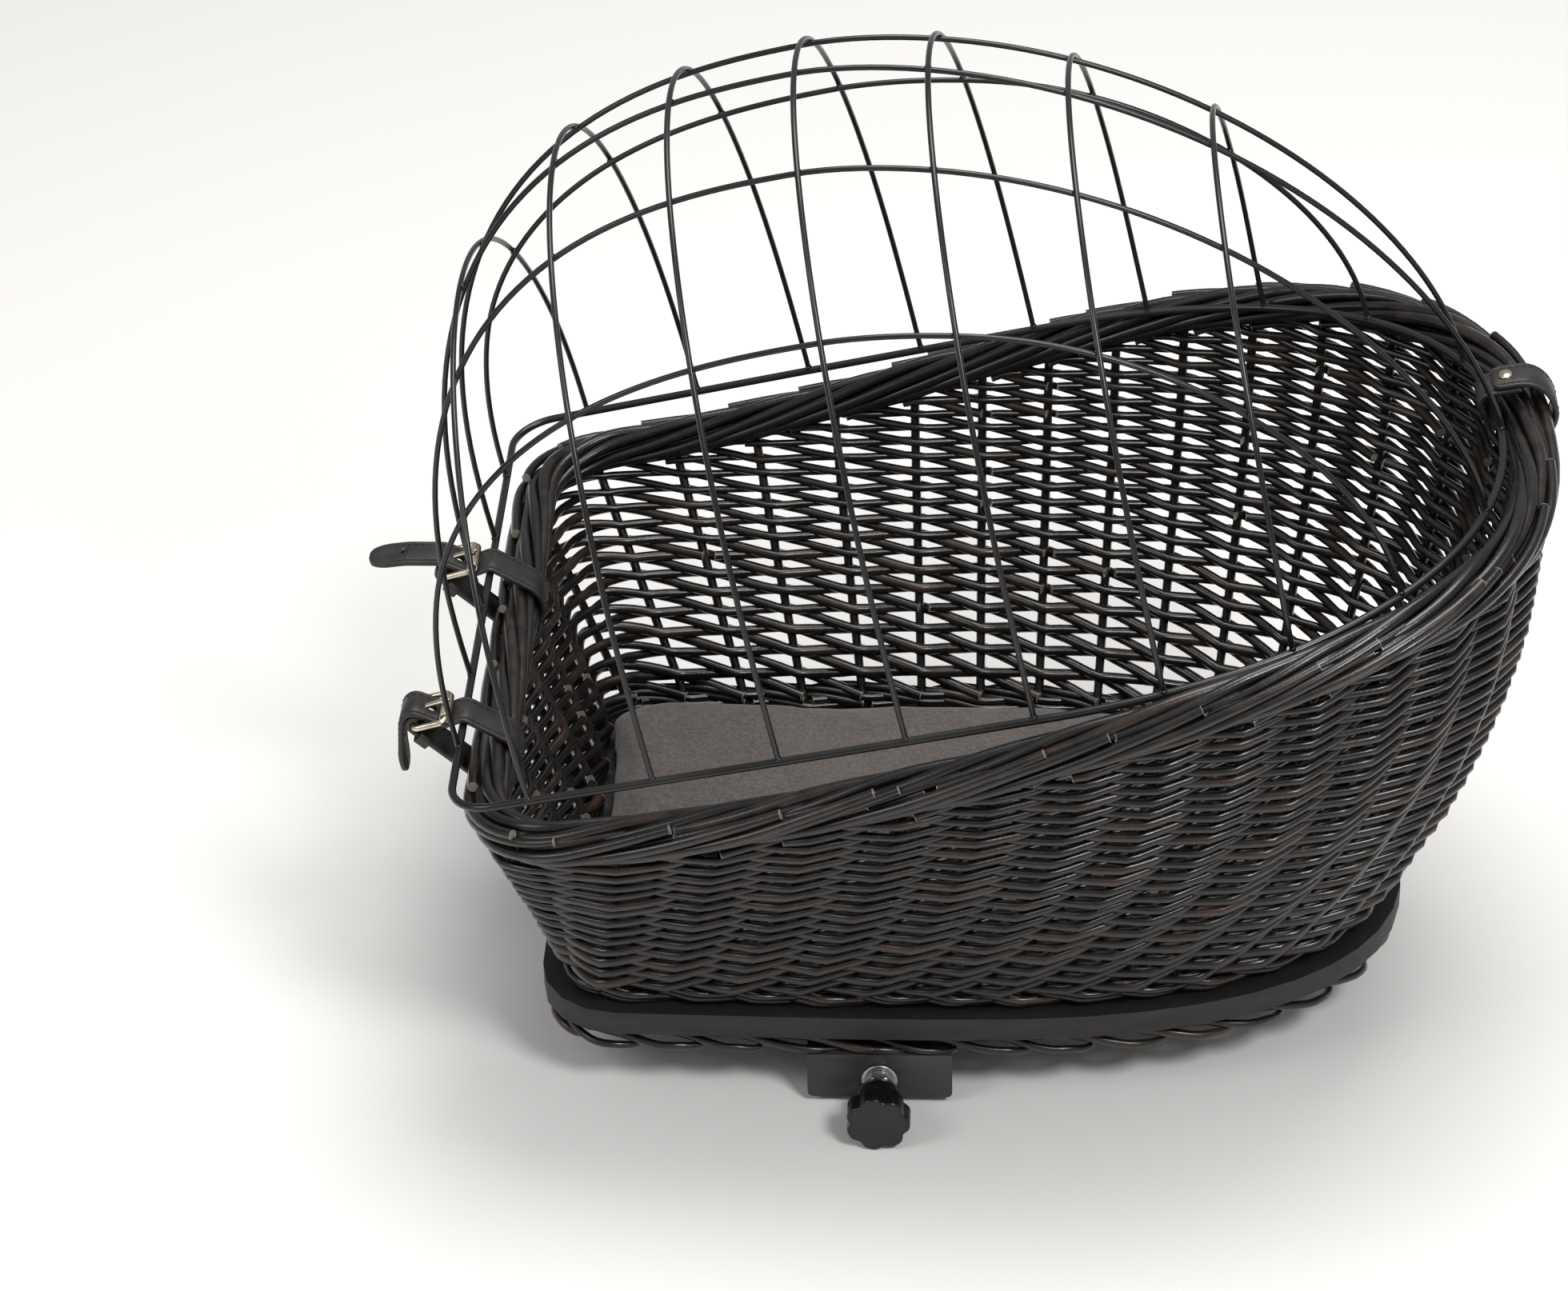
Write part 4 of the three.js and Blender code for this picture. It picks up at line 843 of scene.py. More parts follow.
def weave_tree() -> RodTree:
    """Tree for weavers that start at stakes and pass the stakes in turn as they climb.

    With a rod from each stake, and as many rows in a turn as there are stakes, the rods climb together at a
    slant, as in French randing. With one rod and one wave to three stakes the turns make a wale of three
    strands instead. The lines are cut into rods behind stakes.
    """
    rig = RodTree(
        "Weavers on stakes",
        {
            "Rods": ("Int", 37),
            "Points Per Rod": ("Int", 378),
            "Waves Per Turn": ("Float", 18.5),
            "Rows Per Turn": ("Float", 37.0),
            "Steps Per Turn": ("Int", 259),
            "Start": ("Float", 0.0),
            "Foot Pitch": ("Float", 0.0063),
            "Head Pitch": ("Float", 0.0028),
            "Closing Rows": ("Float", 15.0),
            "Fan": ("Float", 0.08),
            "Least Run": ("Float", 0.12),
            "Bulge": ("Float", 0.005),
            "Head Bulge": ("Float", 0.8),
            "Lean": ("Float", 0.0),
            "Lift": ("Float", 0.0),
            "Looseness": ("Float", 0.0006),
            "Butt Radius": ("Float", 0.0023),
            "Tip Radius": ("Float", 0.0017),
            "Foot Share": ("Float", 1.1),
            "Head Share": ("Float", 0.8),
            "Cut Chance": ("Float", 0.07),
            "Top Share": ("Float", 1.02),
            "Seed": ("Int", SEED),
        },
    )
    size = rig.inputs
    steps = size["Steps Per Turn"]
    length = size["Points Per Rod"]
    line, rod, own = rig.start_line(size["Rods"], length)
    turns = rig.add(MATH, own, steps, operation="DIVIDE")
    around = rig.add(MATH, rod, size["Rods"], operation="DIVIDE")
    around = rig.add(MATH, rig.add(MATH, around, turns, operation="ADD"), operation="FRACT")
    rows = rig.add(MATH, turns, size["Rows Per Turn"], operation="MULTIPLY")
    run = rig.sampled("run", "FLOAT", around, 0.5)
    extra = rig.add(MATH, run, size["Least Run"], operation="DIVIDE")
    extra = rig.add(MATH, extra, 1.0, operation="SUBTRACT")
    spread = rig.add(MATH, extra, size["Fan"], 1.0, operation="MULTIPLY_ADD")
    # Rows lie closer and closer as the rods get thinner, and end at the head pitch.
    closing = rig.add(MATH, rows, size["Closing Rows"], operation="DIVIDE")
    closing = rig.add(MATH, closing, -1.0, operation="MULTIPLY")
    closing = rig.add(MATH, closing, operation="EXPONENT")
    closing = rig.add(MATH, 1.0, closing, operation="SUBTRACT")
    closing = rig.add(MATH, closing, size["Closing Rows"], operation="MULTIPLY")
    wider = rig.add(MATH, size["Foot Pitch"], size["Head Pitch"], operation="SUBTRACT")
    climb = rig.add(MATH, closing, wider, size["Start"], operation="MULTIPLY_ADD")
    climb = rig.add(MATH, rows, size["Head Pitch"], climb, operation="MULTIPLY_ADD")
    climb = rig.add(MATH, climb, spread, operation="MULTIPLY")
    up = rig.add(MATH, climb, run, operation="DIVIDE")
    held = rig.add("ShaderNodeClamp", up, 0.0, 1.0)
    line = rig.add("GeometryNodeStoreNamedAttribute", line, None, "reach", up, domain="POINT")
    # A rod bends sharply round a stake and is nearly straight between two: an eased triangle wave.
    sharpness = 0.995
    waves = rig.add(MATH, turns, size["Waves Per Turn"], operation="MULTIPLY")
    angle = rig.add(MATH, waves, 2 * math.pi, operation="MULTIPLY")
    swing = rig.add(MATH, angle, operation="COSINE")
    bent = rig.add(MATH, swing, sharpness, operation="MULTIPLY")
    bent = rig.add(MATH, bent, operation="ARCSINE")
    bent = rig.add(MATH, bent, -1 / math.asin(sharpness), size["Lean"], operation="MULTIPLY_ADD")
    rise = rig.add(MATH, angle, operation="SINE")
    rise = rig.add(MATH, rise, size["Lift"], operation="MULTIPLY")
    shakes_per_turn, rods_apart = 41.0, 3.1
    place = rig.add(MATH, turns, shakes_per_turn, operation="MULTIPLY")
    apart = rig.add(MATH, rod, rods_apart, operation="MULTIPLY")
    loose = rig.shake(place, apart, 0.9)
    # Thinner rods lie closer to the stakes.
    bulge = rig.add("ShaderNodeMapRange", held, 0.0, 1.0, 1.04, size["Head Bulge"])
    bulge = rig.add(MATH, bulge, size["Bulge"], operation="MULTIPLY")
    reach = rig.add(MATH, bent, bulge, operation="MULTIPLY")
    out = rig.sampled("out", "FLOAT_VECTOR", around, held)
    base = rig.sampled("position", "FLOAT_VECTOR", around, held)
    aside = rig.add(VECTOR_MATH, out, into={"Scale": reach}, operation="SCALE")
    spot = rig.add(VECTOR_MATH, base, aside, operation="ADD")
    spot = rig.add(VECTOR_MATH, spot, loose, operation="ADD")
    spot = rig.add(VECTOR_MATH, spot, rig.add("ShaderNodeCombineXYZ", 0.0, 0.0, rise), operation="ADD")
    line = rig.add("GeometryNodeSetPosition", line, None, spot)
    # Whole waves end behind a stake, and some of them end a rod.
    ends = rig.add("GeometryNodeInputMeshEdgeVertices").node.outputs
    per_wave = rig.add(MATH, steps, size["Waves Per Turn"], operation="DIVIDE")
    first, second = (
        rig.add(MATH, rig.add(MATH, end, per_wave, operation="DIVIDE"), operation="FLOOR")
        for end in (ends[0], ends[1])
    )
    chance = rig.add(
        "FunctionNodeRandomValue", into={2: 0.0, 3: 1.0, "ID": second, "Seed": size["Seed"]}, data_type="FLOAT"
    )
    chosen = rig.add(MATH, chance.node.outputs[1], size["Cut Chance"], operation="LESS_THAN")
    passed = rig.add(MATH, second, first, operation="GREATER_THAN")
    cut = rig.add(MATH, chosen, passed, operation="MULTIPLY")
    cut = rig.add(MATH, cut, rig.between_rods(length), operation="MAXIMUM")
    line = rig.add("GeometryNodeDeleteGeometry", line, cut, domain="EDGE")
    climbed = rig.add("GeometryNodeInputNamedAttribute", "reach", data_type="FLOAT")
    over = rig.add(MATH, climbed, size["Top Share"], operation="GREATER_THAN")
    line = rig.add("GeometryNodeDeleteGeometry", line, over, domain="POINT")

    def thickness(along: Socket, own: Socket) -> Socket:
        """A tapered rod that also gets thinner up the wall."""
        height = rig.add("GeometryNodeInputNamedAttribute", "reach", data_type="FLOAT")
        thinner = rig.add("ShaderNodeMapRange", height, 0.0, 1.0, size["Foot Share"], size["Head Share"])
        return rig.add(MATH, rig.tapered(along, own), thinner, operation="MULTIPLY")

    rig.rods(line, thickness, 8, size["Seed"])
    return rig


def strand_tree() -> RodTree:
    """Tree for strands that leave each stake and run along a border one after another.

    The border's tube is unrolled in its map, so a strand's share up the map is its angle round the border.
    """
    rig = RodTree(
        "Strands round a border",
        {
            "Strands": ("Int", 37),
            "Points": ("Int", 40),
            "Span": ("Float", 0.25),
            "Start Angle": ("Float", 0.0),
            "End Angle": ("Float", 1.0),
            "Start Depth": ("Float", 0.5),
            "Middle Depth": ("Float", 1.0),
            "End Depth": ("Float", 1.1),
            "Butt Radius": ("Float", 0.003),
            "Tip Radius": ("Float", 0.0022),
            "Wave": ("Float", 0.0),
            "Waves": ("Float", 1.0),
            "Looseness": ("Float", 0.0008),
            "Seed": ("Int", SEED),
        },
    )
    size = rig.inputs
    line, strand, number = rig.start_line(size["Strands"], size["Points"])
    last = rig.add(MATH, size["Points"], 1.0, operation="SUBTRACT")
    along = rig.add(MATH, number, last, operation="DIVIDE")
    own = rig.add(
        "FunctionNodeRandomValue", into={2: 0.0, 3: 1.0, "ID": strand, "Seed": size["Seed"]}, data_type="FLOAT"
    ).node.outputs[1]
    start = rig.add(MATH, strand, size["Strands"], operation="DIVIDE")
    longer = rig.add("ShaderNodeMapRange", own, 0.0, 1.0, 0.95, 1.05)
    span = rig.add(MATH, size["Span"], longer, operation="MULTIPLY")
    around = rig.add(MATH, along, span, start, operation="MULTIPLY_ADD")
    around = rig.add(MATH, around, operation="FRACT")
    angle = rig.add("ShaderNodeMix", along, into={2: size["Start Angle"], 3: size["End Angle"]})
    angle = rig.add(MATH, angle, 8.0, operation="ADD")
    angle = rig.add(MATH, angle, operation="FRACT")
    depths = [size[place + " Depth"] for place in ("Start", "Middle", "End")]
    rising, leaving = (
        rig.add("ShaderNodeMapRange", along, low, high, *pair, interpolation_type="SMOOTHSTEP")
        for low, high, pair in ((0.0, 0.18, depths[:2]), (0.86, 1.0, depths[1:]))
    )
    late = rig.add(MATH, along, 0.5, operation="GREATER_THAN")
    depth = rig.add("ShaderNodeMix", late, into={2: rising, 3: leaving})
    centre = rig.sampled("centre", "FLOAT_VECTOR", around, angle)
    face = rig.sampled("position", "FLOAT_VECTOR", around, angle)
    out = rig.sampled("out", "FLOAT_VECTOR", around, angle)
    spoke = rig.add(VECTOR_MATH, face, centre, operation="SUBTRACT")
    spoke = rig.add(VECTOR_MATH, spoke, into={"Scale": depth}, operation="SCALE")
    swing = rig.add(MATH, along, size["Waves"], operation="MULTIPLY")
    swing = rig.add(MATH, swing, 2 * math.pi, operation="MULTIPLY")
    swing = rig.add(MATH, swing, operation="SINE")
    swing = rig.add(MATH, swing, size["Wave"], operation="MULTIPLY")
    aside = rig.add(VECTOR_MATH, out, into={"Scale": swing}, operation="SCALE")
    shakes_per_strand = 3.0
    loose = rig.shake(rig.add(MATH, along, shakes_per_strand, operation="MULTIPLY"), strand, 1.0)
    spot = rig.add(VECTOR_MATH, centre, spoke, operation="ADD")
    for way in (aside, loose):
        spot = rig.add(VECTOR_MATH, spot, way, operation="ADD")
    line = rig.add("GeometryNodeSetPosition", line, None, spot)
    line = rig.add("GeometryNodeDeleteGeometry", line, rig.between_rods(size["Points"]), domain="EDGE")
    rig.rods(line, rig.tapered, 8, size["Seed"])
    return rig


def wire_tree() -> RodTree:
    """Tree that gives mesh lines a round section, for wires and stakes.

    A point attribute "girth" scales the section along each line.
    """
    rig = RodTree("Rods on lines", {"Radius": ("Float", 0.002), "Seed": ("Int", SEED)})
    girth = rig.add("GeometryNodeInputNamedAttribute", "girth", data_type="FLOAT")

    def thickness(along: Socket, own: Socket) -> Socket:
        """The radius follows the girth that the line's points carry."""
        return rig.add(MATH, girth, rig.inputs["Radius"], operation="MULTIPLY")

    rig.rods(rig.inputs["Surface"], thickness, 10, rig.inputs["Seed"])
    return rig


def line_mesh(
    name: str, lines: Sequence[Array], girths: Sequence[Array] | None = None, closed: bool = False
) -> bpy.types.Mesh:
    """Makes a mesh of lines.

    Args:
        name: the mesh's name.
        lines: points of each line, in millimetres.
        girths: share of the full radius at each point, or None for 1.
        closed: whether each line is a loop.

    Returns:
        The mesh, with its "girth" attribute, in metres.
    """
    points, edges, shares = [], [], []
    for number, line in enumerate(lines):
        start = len(points)
        points.extend((np.asarray(line, float) * MM).tolist())
        edges.extend((start + i, start + i + 1) for i in range(len(line) - 1))
        if closed:
            edges.append((start + len(line) - 1, start))
        shares.extend([1.0] * len(line) if girths is None else list(girths[number]))
    mesh = bpy.data.meshes.new(name)
    mesh.from_pydata(points, edges, [])
    attribute = mesh.attributes.new("girth", "FLOAT", "POINT")
    attribute.data.foreach_set("value", np.array(shares, np.float32))
    return mesh


@dataclass(frozen=True)
class Basket:
    """Sizes that the woven parts share.

    They are those of the CAD, but for foot_inset, which is 2.5 mm less, and the stakes' lean, which the CAD lacks.
    """

    board: Plan = Plan(169, 264, 139, 141.5, 40, 20, 2.5)
    rim: Plan = Plan(187, 315, 179, 189, 45, 60, 2.5)
    stakes: int = 37
    wall_inset: float = 16.5
    foot_inset: float = 9.5
    foot_height: float = 8.8
    wall_bottom: float = 28.4
    front_height: float = 156.0
    rear_height: float = 274.5
    easing: float = 0.7
    border_radius: float = 11.5
    stake_lean: float = 0.028

    def rim_height(self, x: Array | float) -> Array | float:
        """Height of the border's middle at a place along X."""
        share = (x + self.rim.front) / (self.rim.rear + self.rim.front)
        rise = self.easing * smooth(share) + (1 - self.easing) * share
        return self.front_height + (self.rear_height - self.front_height) * rise

    def leaning(self, loop: Array) -> Array:
        """Points moved on round their own loop, because the stakes lean the way that the rods climb."""
        spots = round_shares(loop)
        closed = np.concatenate([loop, loop[:1]])
        moved = (spots[:-1] + self.stake_lean) % 1.0
        return np.column_stack([np.interp(moved, spots, closed[:, k]) for k in range(2)])

    def rim_centre(self, fineness: int = 6) -> Array:
        """Points round the middle of the top border."""
        loop = self.leaning(self.rim.loop(fineness))
        return np.column_stack([loop, self.rim_height(loop[:, 0])])

    def wall(self, rows: int, fineness: int = 6) -> tuple[Array, Array, Array, Array]:
        """Middle surface of the wall, flared from the board to the border.

        Args:
            rows: points up the wall.
            fineness: how fine the outline is.

        Returns:
            The grid of points with its first column repeated, the ways out, the shares round and the rise
            of each column.
        """
        base = self.board.inset(self.wall_inset).loop(fineness)
        head = self.leaning(self.rim.loop(fineness))
        out = outwards(head)
        around = round_shares(base)
        reach = self.border_radius
        slope = (self.rim_height(head[:, 0] + reach) - self.rim_height(head[:, 0] - reach)) / (2 * reach)
        top = self.rim_height(head[:, 0]) - reach * np.hypot(1, slope * out[:, 1]) - 0.5
        bulge = smooth(np.clip((head[:, 0] + self.rim.front) / (self.rim.rear + self.rim.front), 0, 1))
        t = np.linspace(0, 1, rows)[None, :, None]
        share = t + bulge[:, None, None] * t * (1 - t)
        plan = base[:, None] + (head - base)[:, None] * share
        height = self.wall_bottom + (top - self.wall_bottom)[:, None, None] * t
        grid = np.concatenate([plan, height], 2)
        grid = np.concatenate([grid, grid[:1]])
        ways = np.repeat(np.column_stack([out, np.zeros(len(out))])[:, None], rows, 1)
        ways = np.concatenate([ways, ways[:1]])
        run = np.append(top, top[0]) - self.wall_bottom
        return grid, ways, around, run


def tube_surface(name: str, centre: Array, radius: float, spots: int = 24, squash: float = 1.0) -> bpy.types.Mesh:
    """Makes a surface round a loop for strands to run on.

    Its map's second axis is the angle: 0 is outwards, a quarter is up and a half is inwards.

    Args:
        name: the mesh's name.
        centre: points round the middle of the tube.
        radius: the tube's radius.
        spots: points round the section.
        squash: the section's height as a share of its width.

    Returns:
        The surface.
    """
    out = np.column_stack([outwards(centre[:, :2]), np.zeros(len(centre))])
    centre = np.concatenate([centre, centre[:1]])
    out = np.concatenate([out, out[:1]])
    angles = np.linspace(0, 2 * math.pi, spots + 1)
    up = np.array([0.0, 0.0, 1.0])
    spokes = out[:, None] * np.cos(angles)[None, :, None] + up * np.sin(angles)[None, :, None] * squash
    lengths = np.linalg.norm(np.diff(centre, axis=0), axis=1)
    around = np.concatenate([[0], np.cumsum(lengths)]) / lengths.sum()
    middle = np.repeat(centre[:, None], spots + 1, 1)
    ways = np.repeat(out[:, None], spots + 1, 1)
    return surface_mesh(name, middle + spokes * radius, {"out": ways, "centre": middle}, {"around": around})


@dataclass
class Weave:
    """The woven wall: stakes, single weavers and a wale of three strands at its foot."""

    basket: Basket
    stake_radius: float = 2.4
    foot_pitch: float = 5.7
    head_pitch: float = 3.3
    weaver_bulge: float = 6.0
    weaver_lean: float = 0.12
    wale_rise: float = 9.0

    def surface(self) -> tuple[bpy.types.Mesh, float]:
        """The wall's surface and its least rise, in metres."""
        grid, ways, around, run = self.basket.wall(24)
        rise = np.repeat(run[:, None] * MM, 24, 1)
        mesh = surface_mesh("wall_surface", grid, {"out": ways}, {"around": around, "run": rise})
        return mesh, float(run.min()) * MM

    def stake_lines(self) -> list[Array]:
        """Points of each stake, from the foot border through the board to the middle of the top border."""
        grid, _, around, _ = self.basket.wall(14)
        rim = np.concatenate([self.basket.rim_centre(), self.basket.rim_centre()[:1]])
        lines = []
        for i in range(self.basket.stakes):
            share = i / self.basket.stakes
            wall = np.array([[np.interp(share, around, grid[:, j, k]) for k in range(3)] for j in range(14)])
            head = np.array([np.interp(share, around, rim[:, k]) for k in range(3)])
            foot = wall[:1] - [[0, 0, self.basket.wall_bottom - self.basket.foot_height]]
            lines.append(resample(np.concatenate([foot, wall, head[None] - [[0, 0, 3.0]]]), 9.0))
        return lines

    def build(self) -> list[bpy.types.Object]:
        """Makes the wall's pieces."""
        tree = weave_tree()
        surface, least = self.surface()
        weavers = tree.grow(
            "wall_weavers",
            surface,
            WILLOW,
            Rods=self.basket.stakes,
            Start=self.wale_rise * MM,
            Foot_Pitch=self.foot_pitch * MM,
            Head_Pitch=self.head_pitch * MM,
            Least_Run=least,
            Bulge=self.weaver_bulge * MM,
            Lean=self.weaver_lean,
            Looseness=0.0007,
            Butt_Radius=2.8 * MM,
            Tip_Radius=2.5 * MM,
        )
        wale = tree.grow(
            "wall_foot_wale",
            surface,
            WILLOW,
            Rods=1,
            Points_Per_Rod=1554,
            Waves_Per_Turn=37 / 3,
            Rows_Per_Turn=1.0,
            Start=2.2 * MM,
            Foot_Pitch=1.15 * MM,
            Head_Pitch=1.15 * MM,
            Fan=0.0,
            Least_Run=least,
            Bulge=5.0 * MM,
            Lean=0.25,
            Lift=1.8 * MM,
            Butt_Radius=2.2 * MM,
            Tip_Radius=1.9 * MM,
            Cut_Chance=0.12,
            Seed=SEED + 1,
        )
        stakes = wire_tree().grow(
            "wall_stakes", line_mesh("stake_lines", self.stake_lines()), WILLOW, Radius=self.stake_radius * MM
        )
        return [weavers, wale, stakes]


@dataclass
class Borders:
    """The thick twisted border on the wall and the woven foot border under the board."""

    basket: Basket
    strand_turns: float = 1.0
    strand_pitches: float = 9.0
    end_angle: float = 0.13

    def top(self) -> list[bpy.types.Object]:
        """The twisted rods of the top border round a core of the same rods."""
        centre = self.basket.rim_centre()
        face = tube_surface("border_surface", centre, 8.7)
        rods = strand_tree().grow(
            "top_border_rods",
            face,
            WILLOW,
            Strands=self.basket.stakes,
            Points=60,
            Span=self.strand_pitches / self.basket.stakes,
            Start_Angle=self.end_angle - self.strand_turns,
            End_Angle=self.end_angle,
            Start_Depth=0.35,
            Middle_Depth=1.0,
            End_Depth=1.0,
            Butt_Radius=3.3 * MM,
            Tip_Radius=2.6 * MM,
            Looseness=0.0011,
        )
        core = strand_tree().grow(
            "top_border_core",
            face,
            WILLOW,
            Strands=self.basket.stakes,
            Points=30,
            Span=6 / self.basket.stakes,
            Start_Angle=0.0,
            End_Angle=1.0,
            Start_Depth=0.42,
            Middle_Depth=0.42,
            End_Depth=0.42,
            Butt_Radius=3.2 * MM,
            Tip_Radius=3.0 * MM,
            Seed=SEED + 3,
        )
        return [rods, core]

    def foot(self) -> list[bpy.types.Object]:
        """The foot border: each stake's end goes down, out and round two others."""
        loop = self.basket.board.inset(self.basket.foot_inset).loop(6)
        centre = np.column_stack([loop, np.full(len(loop), self.basket.foot_height)])
        face = tube_surface("foot_surface", centre, 3.6)
        rods = strand_tree().grow(
            "foot_border_rods",
            face,
            WILLOW,
            Strands=self.basket.stakes,
            Points=30,
            Span=2.8 / self.basket.stakes,
            Start_Angle=0.4,
            End_Angle=-0.3,
            Start_Depth=0.8,
            Middle_Depth=1.3,
            End_Depth=2.0,
            Butt_Radius=2.5 * MM,
            Tip_Radius=2.0 * MM,
            Wave=3.2 * MM,
            Waves=1.4,
            Seed=SEED + 5,
        )
        return [rods]


def bead_tree() -> RodTree:
    """Tree that puts a weld bead on each point, turned and sized a little differently each time."""
    rig = RodTree("Weld beads", {"Radius": ("Float", 0.0019), "Seed": ("Int", SEED)})
    seed = rig.inputs["Seed"]
    bead = rig.add("GeometryNodeMeshIcoSphere", rig.inputs["Radius"], 2)
    turned = rig.add(
        "FunctionNodeRandomValue", (0.0, 0.0, 0.0), (6.0, 6.0, 6.0), into={"Seed": seed}, data_type="FLOAT_VECTOR"
    )
    sized = rig.add(
        "FunctionNodeRandomValue", (0.8, 0.8, 0.8), (1.2, 1.2, 1.2), into={"Seed": seed}, data_type="FLOAT_VECTOR"
    )
    beads = rig.add(
        "GeometryNodeInstanceOnPoints", rig.inputs["Surface"], None, bead, into={"Rotation": turned, "Scale": sized}
    )
    rig.finish(rig.add("GeometryNodeSetShadeSmooth", beads))
    return rig


@dataclass
class Cage:
    """The wire dome: a thick frame wire, seven hoops and five long wires, welded where they cross."""

    frame: Plan = Plan(204.5, 306, 175.5, 178.5, 22, 80, 2.2)
    frame_height: float = 217.7
    lean: float = math.radians(12)
    frame_radius: float = 2.0
    wire_radius: float = 1.4
    peak: float = 15.0
    height: float = 258.0
    front_exponent: float = 2.55
    rear_exponent: float = 1.7
    hoops: int = 7
    first_hoop: float = -165.0
    hoop_pitch: float = 60.3
    weld_lift: float = 2.3
    weld_radius: float = 1.85

    def tilted(self, points: Array) -> Array:
        """Turns points from the frame's own plane to their place on the basket."""
        x, y, z = np.asarray(points, float).T
        level, rise = math.cos(self.lean), math.sin(self.lean)
        return np.stack([x * level - z * rise, y, x * rise + z * level + self.frame_height], 1)

    def profile(self, x: Array | float) -> Array:
        """Height of the dome over the frame's plane, along its middle."""
        forward = np.asarray(x) < self.peak
        span = np.where(forward, self.peak + self.frame.front, self.frame.rear - self.peak)
        exponent = np.where(forward, self.front_exponent, self.rear_exponent)
        return self.height * power(1 - power(np.abs(x - self.peak) / span, exponent), 1 / exponent)

    def surface(self, x: Array | float, y: Array | float) -> Array:
        """Height of the dome over the frame's plane, at any place."""
        share = y / self.frame.side(x)
        return self.profile(x) * np.sqrt(np.maximum(1 - share * share, 0))

    def normal(self, x: Array, y: Array) -> Array:
        """Unit vectors out of the dome."""
        rise = self.surface(x + 2, y) - self.surface(x - 2, y)
        fall = self.surface(x, y + 2) - self.surface(x, y - 2)
        ways = np.stack([-rise, -fall, np.full(np.shape(rise), 4.0)], -1)
        return ways / np.linalg.norm(ways, axis=-1, keepdims=True)

    def hoop_places(self) -> list[float]:
        """Where each hoop crosses the middle, along the frame."""
        return [self.first_hoop + self.hoop_pitch * i for i in range(self.hoops)]

    def hoop(self, place: float) -> Array:
        """Points of one hoop, just outside the long wires."""
        angle = np.linspace(0, math.pi, 73)
        y = -float(self.frame.side(place)) * np.cos(angle)
        x = np.full(len(y), place)
        z = self.profile(place) * np.sin(angle)
        lift = self.weld_lift * smooth(np.minimum(2 * np.sin(angle), 1))
        path = np.stack([x, y, z], 1)
        path[1:-1] += (self.normal(x, y) * lift[:, None])[1:-1]
        path[:, 2] = np.maximum(path[:, 2], self.frame_radius)
        return path

    def long_wire(self, front_y: float, rear_y: float) -> Array:
        """Points of one long wire, from its place across the front to its place at the rear."""
        share = (1 - np.cos(np.linspace(0, math.pi, 97))) / 2
        rear = self.frame.rear_place(rear_y)
        x = -self.frame.front + (rear + self.frame.front) * share
        y = front_y + (rear_y - front_y) * share
        z = np.maximum(self.surface(x, y), self.frame_radius)
        z[[0, -1]] = self.frame_radius
        return np.stack([x, y, z], 1)

    def build(self) -> list[bpy.types.Object]:
        """Makes the wires and their welds."""
        loop = self.frame.loop(6)
        ring = self.tilted(np.column_stack([loop, np.zeros(len(loop))]))
        reaches = [(0, 0), (-62, -69), (62, 69), (-122, -127), (122, 127)]
        long_wires = [self.long_wire(*reach) for reach in reaches]
        hoops = [self.hoop(place) for place in self.hoop_places()]
        welds = []
        for wire in [*hoops, *long_wires]:
            welds += [wire[0] - [0, 0, 0.4], wire[-1] - [0, 0, 0.4]]
        for wire in long_wires:
            for place in self.hoop_places():
                y = float(np.interp(place, wire[:, 0], wire[:, 1]))
                spot = np.array([place, y, float(self.surface(place, y))])
                welds.append(spot + self.normal(np.array([place]), np.array([y]))[0] * self.weld_lift / 2)
        tree = wire_tree()
        frame_wire = tree.grow(
            "cage_frame_wire", line_mesh("frame_line", [ring], closed=True), CAGE_COAT, Radius=self.frame_radius * MM
        )
        wires = tree.grow(
            "cage_wires",
            line_mesh("wire_lines", [self.tilted(path) for path in [*hoops, *long_wires]]),
            CAGE_COAT,
            Radius=self.wire_radius * MM,
        )
        spots = bpy.data.meshes.new("weld_spots")
        spots.from_pydata((self.tilted(np.array(welds)) * MM).tolist(), [], [])
        beads = bead_tree().grow("cage_welds", spots, CAGE_COAT, Radius=self.weld_radius * MM)
        return [frame_wire, wires, beads]


def arc(centre: complex, radius: float, start: float, end: float, steps: int) -> Array:
    """Points along an arc, seen from the side, as X and height in complex numbers."""
    return centre + radius * np.exp(1j * np.linspace(start, end, steps + 1))


def tangent_angle(centre: complex, radius: float, other: complex, other_radius: float, side: int) -> float:
    """Angle at which a belt round two wheels leaves them, on one side of the line between them."""
    line = other - centre
    return float(np.angle(line)) % (2 * math.pi) + side * math.acos((radius - other_radius) / abs(line))


def across(path: Array, y: float) -> Array:
    """Turns complex points seen from the side to points at a place across the basket."""
    return np.stack([path.real, np.full(len(path), y), path.imag], 1)


def rounded_box(low: complex, high: complex, radius: float, steps: int) -> Array:
    """Points round a box with rounded corners, in complex numbers, from its low corner on."""
    near, far = low + radius * (1 + 1j), high - radius * (1 + 1j)
    centres = (near, complex(far.real, near.imag), far, complex(near.real, far.imag))
    quarters = [
        arc(centre, radius, (i / 2 - 1) * math.pi, (i / 2 - 0.5) * math.pi, steps) for i, centre in enumerate(centres)
    ]
    return np.concatenate(quarters)


def creased_band(width: float, thickness: float, margin: float, depth: float = 0.28) -> Array:
    """Outline of a strap with a pressed crease along each edge, on both faces."""
    plain = band_section(width, thickness, min(0.9, thickness * 0.4), 3)
    crease = width / 2 - margin
    top = [(x, thickness / 2 - d) for x, d in ((crease + 0.5, 0), (crease, depth), (crease - 0.5, 0))]
    top += [(-x, z) for x, z in top[::-1]]
    bottom = [(-x, -z) for x, z in top]
    return np.concatenate([plain[:4], top, plain[4:12], bottom, plain[12:]])


